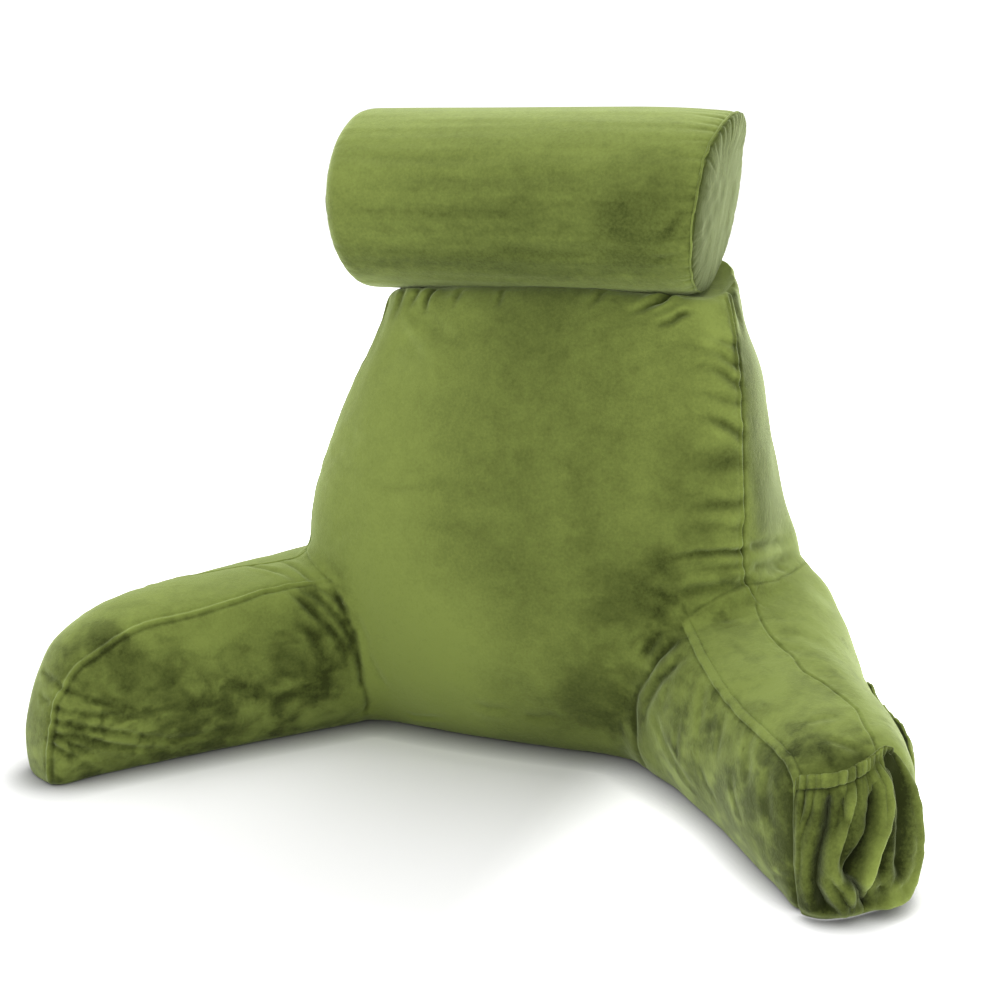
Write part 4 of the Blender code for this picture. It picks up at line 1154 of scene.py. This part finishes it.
def make_end_pocket():
    across_count, up_count = 250, 120
    u = np.linspace(0, 1, across_count + 1)
    v = np.linspace(0, 1, up_count + 1)
    mouth_angle = -103.0 + 78.0 * u
    top, shoulder, stand = (table_at(END_MOUTH, k, mouth_angle) for k in (1, 2, 3))
    U, V = np.meshgrid(u, v)
    heights = END_FOOT + (top[None] - END_FOOT) * V
    left, right = table_at(END_EDGES, 1, heights), table_at(END_EDGES, 2, heights)
    degrees = left + (right - left) * U
    turn = np.radians(degrees)
    way = np.dstack([np.cos(turn), np.sin(turn)])
    inner = np.zeros(U.shape)
    for j in range(up_count + 1):
        for i in range(across_count + 1):
            z = min(max(heights[j, i], 0.010), shoulder[i])
            a, b = way[j, i]
            start = Vector((END_CENTRE[0] + a * 0.4, END_CENTRE[1] + b * 0.4, z))
            place = cover_tree.ray_cast(start, Vector((-a, -b, 0)))[0]
            inner[j, i] = math.hypot(place.x - END_CENTRE[0], place.y - END_CENTRE[1])
    # the cloth bridges the arm's own small hollows
    for _ in range(14):
        inner[:, 1:-1] = np.maximum(inner[:, 1:-1], 0.5 * (inner[:, :-2] + inner[:, 2:]))
        inner[1:-1] = 0.5 * inner[1:-1] + 0.25 * (inner[:-2] + inner[2:])
    edge = np.minimum(1.0, np.sin(np.pi * np.clip(U * 0.985 + 0.0075, 0, 1)) ** 0.45 * 1.04)
    foot = np.clip(heights / 0.018, 0, 1)
    sag = np.sqrt(np.maximum(0.0, 1 - (1 - foot) ** 2.2)) * (1 - 0.74 * smooth_step((V - 0.28) / 0.60))
    heavy = 1 + 0.50 * bell(degrees + 76.0, 20.0) - 0.52 * smooth_step((degrees + 40.0) / 24.0)  # fullest low on its inner side
    seat = np.array([
        [END_CENTRE[0] + way[j, i, 0] * 0.07, END_CENTRE[1] + way[j, i, 1] * 0.07, heights[j, i]]
        for j in range(up_count + 1) for i in range(across_count + 1)
    ])
    seat = POCKET_SEAT * pocket_seat(seat).reshape(U.shape)
    lift = END_BAG * sag * edge * heavy + seat
    # folds, in metres on the pocket laid flat
    share = (degrees + 97.0) / 87.0
    rise = heights / table_at(END_FOLD_TOPS, 1, degrees)
    flat = np.dstack([share * 0.170, rise * 0.130, np.zeros_like(U)]).reshape(-1, 3)
    folds, dark = np.zeros(len(flat)), np.zeros(len(flat))
    for order, (height, width, steep, points) in enumerate(END_FOLDS):
        line = spline([(a * 0.170, b * 0.130, 0.0) for a, b in points], 0.002)
        near = near_line(flat, line, 0.0040 * width)
        index, gap, along, offset, direction, total = near
        outer = np.tanh((offset[:, 1] * direction[:, 0] - offset[:, 0] * direction[:, 1]) / 0.0006)
        g = gap * 1000 * (1 + 0.12 * line_noise(along, 0.012, 301 + order))
        g = g * (1 + 0.5 * abs(steep) + outer * steep * 0.8)
        ends = smooth_step((along + 0.004) / 0.014) * smooth_step((total - along + 0.004) / 0.018)
        folds[index] += 0.001 * height * ends * bell(g, width)
        # painted shade in the pocket's valleys and painted highlight on its ridges
        dark[index] -= (0.044 if height > 0 else 0.042 if width < 8 else 0.076) * height * ends * bell(g, width * 0.95)
    folds, dark = folds.reshape(U.shape), dark.reshape(U.shape)
    down = top[None] - heights  # how far under the mouth
    free = smooth_step((U - 0.56) / 0.16)  # the hem is lost in the folds on its outer side
    under_band = smooth_step((down - BAND * (1 - free)) / 0.012)
    low = smooth_step(V / 0.06)
    lift += folds * under_band * low * edge
    # gathers at the elastic, fanning out below it
    run = (share * 0.170).ravel()
    gather = line_noise(run, 0.0056, 401) + 0.6 * line_noise(run, 0.0032, 402)
    gather = gather.reshape(U.shape)
    lift += 0.0021 * gather * np.exp(-((down / 0.024) ** 2)) * edge
    # painted shade and painted highlight along the gathers
    dark -= 0.20 * gather * np.exp(-((down / 0.024) ** 2))
    # the band: puffed between its top edge and the stitching below
    puff = np.sqrt(np.maximum(0.0, 1 - ((down - BAND / 2) / (BAND / 2)) ** 2))
    stitched = down - BAND * (1 + 0.10 * line_noise(run, 0.014, 405).reshape(U.shape))
    lift += 0.0020 * np.where(down < BAND, puff, 0.0) * edge * (1 - 0.8 * free)
    lift -= 0.0026 * bell(stitched, 0.0018) * edge * (1 - free)
    # painted shade in the stitch groove and painted highlight along the mouth's edge
    dark += 0.34 * bell(stitched - 0.0008, 0.0018) * (1 - free) - 0.14 * bell(down - 0.001, 0.0018)
    lift += 0.0005 * wave_noise(flat, 0.007, 403).reshape(U.shape) * low
    mouth = stand[None] * V**2.2
    away = inner + CLOTH + 0.0012 + mouth + np.maximum(lift, 0.0)
    grid = np.dstack([
        END_CENTRE[0] + way[..., 0] * away,
        END_CENTRE[1] + way[..., 1] * away,
        heights + 0.0014 * gather * np.exp(-((down / 0.010) ** 2)),
    ])
    # painted shade over the whole pocket, with mottling; then painted shade and light by region: darker inner edge and
    # lighter outer edge, darker inner half under the band and low on the inner side
    dark += 0.62 + 0.10 * np.tanh(1.8 * wave_noise(grid.reshape(-1, 3), 0.014, 404).reshape(U.shape))
    dark += np.where(U < 0.5, 0.06, -0.08) * (1 - smooth_step(np.minimum(U, 1 - U) / 0.025))
    dark += (0.32 * smooth_step((0.52 - U) / 0.25) + 0.16 * smooth_step((U - 0.80) / 0.08)) * under_band
    dark += 0.14 * smooth_step((0.36 - U) / 0.12) * smooth_step((0.30 - V) / 0.2)
    # painted light low on the outer side and at the inner foot, painted shade towards the bottom, painted light just
    # above the floor
    dark -= 0.54 * smooth_step((U - 0.52) / 0.10) * smooth_step((0.24 - V) / 0.10)
    dark -= 0.46 * smooth_step((0.12 - V) / 0.06) * smooth_step((0.52 - U) / 0.10)
    dark += 0.10 * smooth_step((0.30 - V) / 0.3) - 0.06 * bell(heights - 0.006, 0.006)
    middle = math.radians(END_DIRECTION)
    return sheet_piece("end_pocket_plush", grid, dark, (math.cos(middle), math.sin(middle), 0.0))


pocket_plush = plush("plush_pocket", POCKET_LIGHT, POCKET_DARK, 9.0, sheen=0.34)
end_pocket = finished(make_end_pocket(), pocket_plush, "plush_pocket", "end_pocket")

SIDE_FROM, SIDE_TO = (0.3980, 0.0200), (0.4600, -0.1500)
SIDE_FOOT, SIDE_SHOULDER = 0.012, 0.128
SIDE_MOUTH = (
    (0.00, 0.1255, 0.0004), (0.06, 0.1275, 0.0020), (0.13, 0.128, 0.0024), (0.22, 0.127, 0.0008),
    (0.62, 0.128, 0.0008), (0.71, 0.129, 0.0030), (0.80, 0.128, 0.0028), (0.92, 0.124, 0.0008),
    (1.00, 0.116, 0.0004),
)


def make_side_pocket():
    along_count, up_count = 180, 80
    u = np.linspace(0, 1, along_count + 1)
    v = np.linspace(0, 1, up_count + 1)
    start, stop = np.array(SIDE_FROM), np.array(SIDE_TO)
    square = np.array((-(stop - start)[1], (stop - start)[0]))
    square /= np.linalg.norm(square)
    top, stand = table_at(SIDE_MOUTH, 1, u), table_at(SIDE_MOUTH, 2, u)
    heights = SIDE_FOOT + (top[None] - SIDE_FOOT) * v[:, None]
    base = start[None] + (stop - start)[None] * u[:, None]
    inner = np.zeros((up_count + 1, along_count + 1))
    for j in range(up_count + 1):
        for i in range(along_count + 1):
            z = min(heights[j, i], SIDE_SHOULDER)
            far = base[i] + square * 0.3
            place = cover_tree.ray_cast(Vector((far[0], far[1], z)), Vector((-square[0], -square[1], 0)))[0]
            inner[j, i] = (np.array((place.x, place.y)) - base[i]) @ square
    for _ in range(10):
        inner[:, 1:-1] = np.maximum(inner[:, 1:-1], 0.5 * (inner[:, :-2] + inner[:, 2:]))
        inner[1:-1] = 0.5 * inner[1:-1] + 0.25 * (inner[:-2] + inner[2:])
    U, V = np.meshgrid(u, v)
    edge = np.minimum(1.0, np.sin(np.pi * np.clip(U * 0.985 + 0.008, 0, 1)) ** 0.5 * 1.05)
    run = U.ravel() * 0.181
    gather = (line_noise(run, 0.0058, 411) + 0.6 * line_noise(run, 0.0032, 412)).reshape(U.shape)
    down = (1 - V) * 0.120
    lift = 0.0030 * np.sin(np.pi * V) * edge
    lift += 0.0016 * (wave_noise(np.c_[run, V.ravel() * 0.12, run * 0], (0.020, 0.055, 1.0), 413).reshape(U.shape)) * edge
    lift += 0.0008 * gather * np.exp(-((down / 0.020) ** 2)) * edge
    puff = np.sqrt(np.maximum(0.0, 1 - ((down - BAND / 2) / (BAND / 2)) ** 2))
    lift += 0.0010 * np.where(down < BAND, puff, 0.0) * edge - 0.0020 * bell(down - BAND, 0.0016) * edge
    away = inner + CLOTH + 0.0008 + stand[None] * V**4 + np.maximum(lift, 0.0)
    grid = np.dstack([
        base[None, :, 0] + square[0] * away,
        base[None, :, 1] + square[1] * away,
        heights + 0.0006 * gather * (V > 0.99),
    ])
    # painted shade and highlight along the gathers, painted shade in the stitch groove, painted highlight along the
    # mouth's edge, and mottling
    dark = 0.20 - 0.18 * gather * np.exp(-((down / 0.020) ** 2))
    dark += 0.30 * bell(down - BAND - 0.0006, 0.0014) - 0.12 * bell(down - 0.001, 0.0016)
    dark += 0.10 * wave_noise(grid.reshape(-1, 3), 0.020, 414).reshape(U.shape)
    return sheet_piece("side_pocket_plush", grid, dark, (square[0], square[1], 0.0))


side_pocket = finished(make_side_pocket(), pocket_plush, "plush_pocket", "side_pocket")

# ---- floor, backdrop, light and camera --------------------------------------------------------
WORLD_STRENGTH = 0.80
LIGHTS = (  # name, place, target, size, power
    ("key", (-1.6, -1.1, 1.9), (0.0, 0.05, 0.30), (1.2, 1.2), 6.0),
    ("top", (0.0, 0.9, 2.1), (0.0, 0.05, 0.25), (1.8, 1.8), 44.0),
)


def plain(name, colour, glow):
    material = bpy.data.materials.new(name)
    material.use_nodes = True
    shader = material.node_tree.nodes["Principled BSDF"]
    shader.inputs["Base Color"].default_value = (*colour, 1)
    shader.inputs["Roughness"].default_value = 0.95
    shader.inputs["Specular IOR Level"].default_value = 0.0
    shader.inputs["Emission Color"].default_value = (1, 1, 1, 1)
    shader.inputs["Emission Strength"].default_value = glow
    return material


floor_mesh = bpy.data.meshes.new("floor")
floor_form = bmesh.new()
bmesh.ops.create_circle(floor_form, cap_ends=True, segments=96, radius=9.0)
floor_form.to_mesh(floor_mesh)
floor_form.free()
floor = new_object("floor", floor_mesh)
floor.location.z = -0.0004
pale = plain("pale_floor", (0.92, 0.92, 0.92), 0.0)
nodes, links = pale.node_tree.nodes, pale.node_tree.links
spot = nodes.new("ShaderNodeTexCoord")
reach = nodes.new("ShaderNodeVectorMath")
reach.operation = "LENGTH"
links.new(spot.outputs["Object"], reach.inputs[0])
glow = nodes.new("ShaderNodeMapRange")
glow.inputs["From Min"].default_value = 0.35
glow.inputs["From Max"].default_value = 1.6
glow.inputs["To Min"].default_value = 0.0
glow.inputs["To Max"].default_value = 1.0
links.new(reach.outputs["Value"], glow.inputs["Value"])
# painted light: the floor glows more in front of the arm with the pockets, so the shadow there is thin
parts = nodes.new("ShaderNodeSeparateXYZ")
links.new(spot.outputs["Object"], parts.inputs["Vector"])
beside = nodes.new("ShaderNodeMapRange")
beside.interpolation_type = "SMOOTHSTEP"
beside.inputs["From Min"].default_value = 0.07
beside.inputs["From Max"].default_value = 0.26
beside.inputs["To Min"].default_value = 0.0
beside.inputs["To Max"].default_value = 0.90
links.new(parts.outputs["X"], beside.inputs["Value"])
glows = nodes.new("ShaderNodeMath")
glows.operation = "ADD"
links.new(glow.outputs["Result"], glows.inputs[0])
links.new(beside.outputs["Result"], glows.inputs[1])
# painted contact shadow: the floor's colour and glow darken where the pillow is near
touch = nodes.new("ShaderNodeAmbientOcclusion")
touch.samples = 8
touch.inputs["Distance"].default_value = 0.045
deeper = nodes.new("ShaderNodeMath")
deeper.operation = "POWER"
deeper.inputs[1].default_value = 1.3
links.new(touch.outputs["AO"], deeper.inputs[0])
tone = nodes.new("ShaderNodeMix")
tone.data_type = "RGBA"
tone.inputs["A"].default_value = (0.16, 0.16, 0.16, 1.0)
tone.inputs["B"].default_value = (0.92, 0.92, 0.92, 1.0)
links.new(deeper.outputs["Value"], tone.inputs["Factor"])
links.new(tone.outputs["Result"], nodes["Principled BSDF"].inputs["Base Color"])
shaded = nodes.new("ShaderNodeMath")
shaded.operation = "MULTIPLY"
links.new(glows.outputs["Value"], shaded.inputs[0])
links.new(deeper.outputs["Value"], shaded.inputs[1])
links.new(shaded.outputs["Value"], nodes["Principled BSDF"].inputs["Emission Strength"])
floor.data.materials.append(pale)

dome_mesh = bpy.data.meshes.new("backdrop")
dome_form = bmesh.new()
bmesh.ops.create_uvsphere(dome_form, u_segments=64, v_segments=32, radius=9.0)
bmesh.ops.reverse_faces(dome_form, faces=dome_form.faces)
dome_form.to_mesh(dome_mesh)
dome_form.free()
dome = new_object("backdrop", dome_mesh)
dome.data.materials.append(plain("white_backdrop", (0.0, 0.0, 0.0), 1.15))
dome.visible_diffuse = False
dome.visible_glossy = False
dome.visible_shadow = False

world = bpy.data.worlds.new("studio")
scene.world = world
world.use_nodes = True
world.node_tree.nodes["Background"].inputs["Color"].default_value = (1.0, 1.0, 1.0, 1.0)
world.node_tree.nodes["Background"].inputs["Strength"].default_value = WORLD_STRENGTH
scene.view_settings.view_transform = "Standard"


def soft_light(name, place, target, size, power):
    data = bpy.data.lights.new(name, "AREA")
    data.shape = "RECTANGLE"
    data.size, data.size_y = size
    data.energy = power
    made = bpy.data.objects.new(name, data)
    scene.collection.objects.link(made)
    made.location = place
    made.rotation_euler = (Vector(target) - Vector(place)).to_track_quat("-Z", "Y").to_euler()
    return made


for light in LIGHTS:
    soft_light(*light)

CAMERA_PITCH, CAMERA_TURN = math.radians(12.678), math.radians(21.07)
camera_data = bpy.data.cameras.new("camera")
camera_data.lens = 55.31
camera_data.sensor_width = 36.0
camera = bpy.data.objects.new("camera", camera_data)
scene.collection.objects.link(camera)
camera.location = Vector((0.5686, -1.5313, 0.66904)) + HOME
look = Vector((
    -math.sin(CAMERA_TURN) * math.cos(CAMERA_PITCH),
    math.cos(CAMERA_TURN) * math.cos(CAMERA_PITCH),
    -math.sin(CAMERA_PITCH),
))
camera.rotation_euler = look.to_track_quat("-Z", "Y").to_euler()
scene.camera = camera
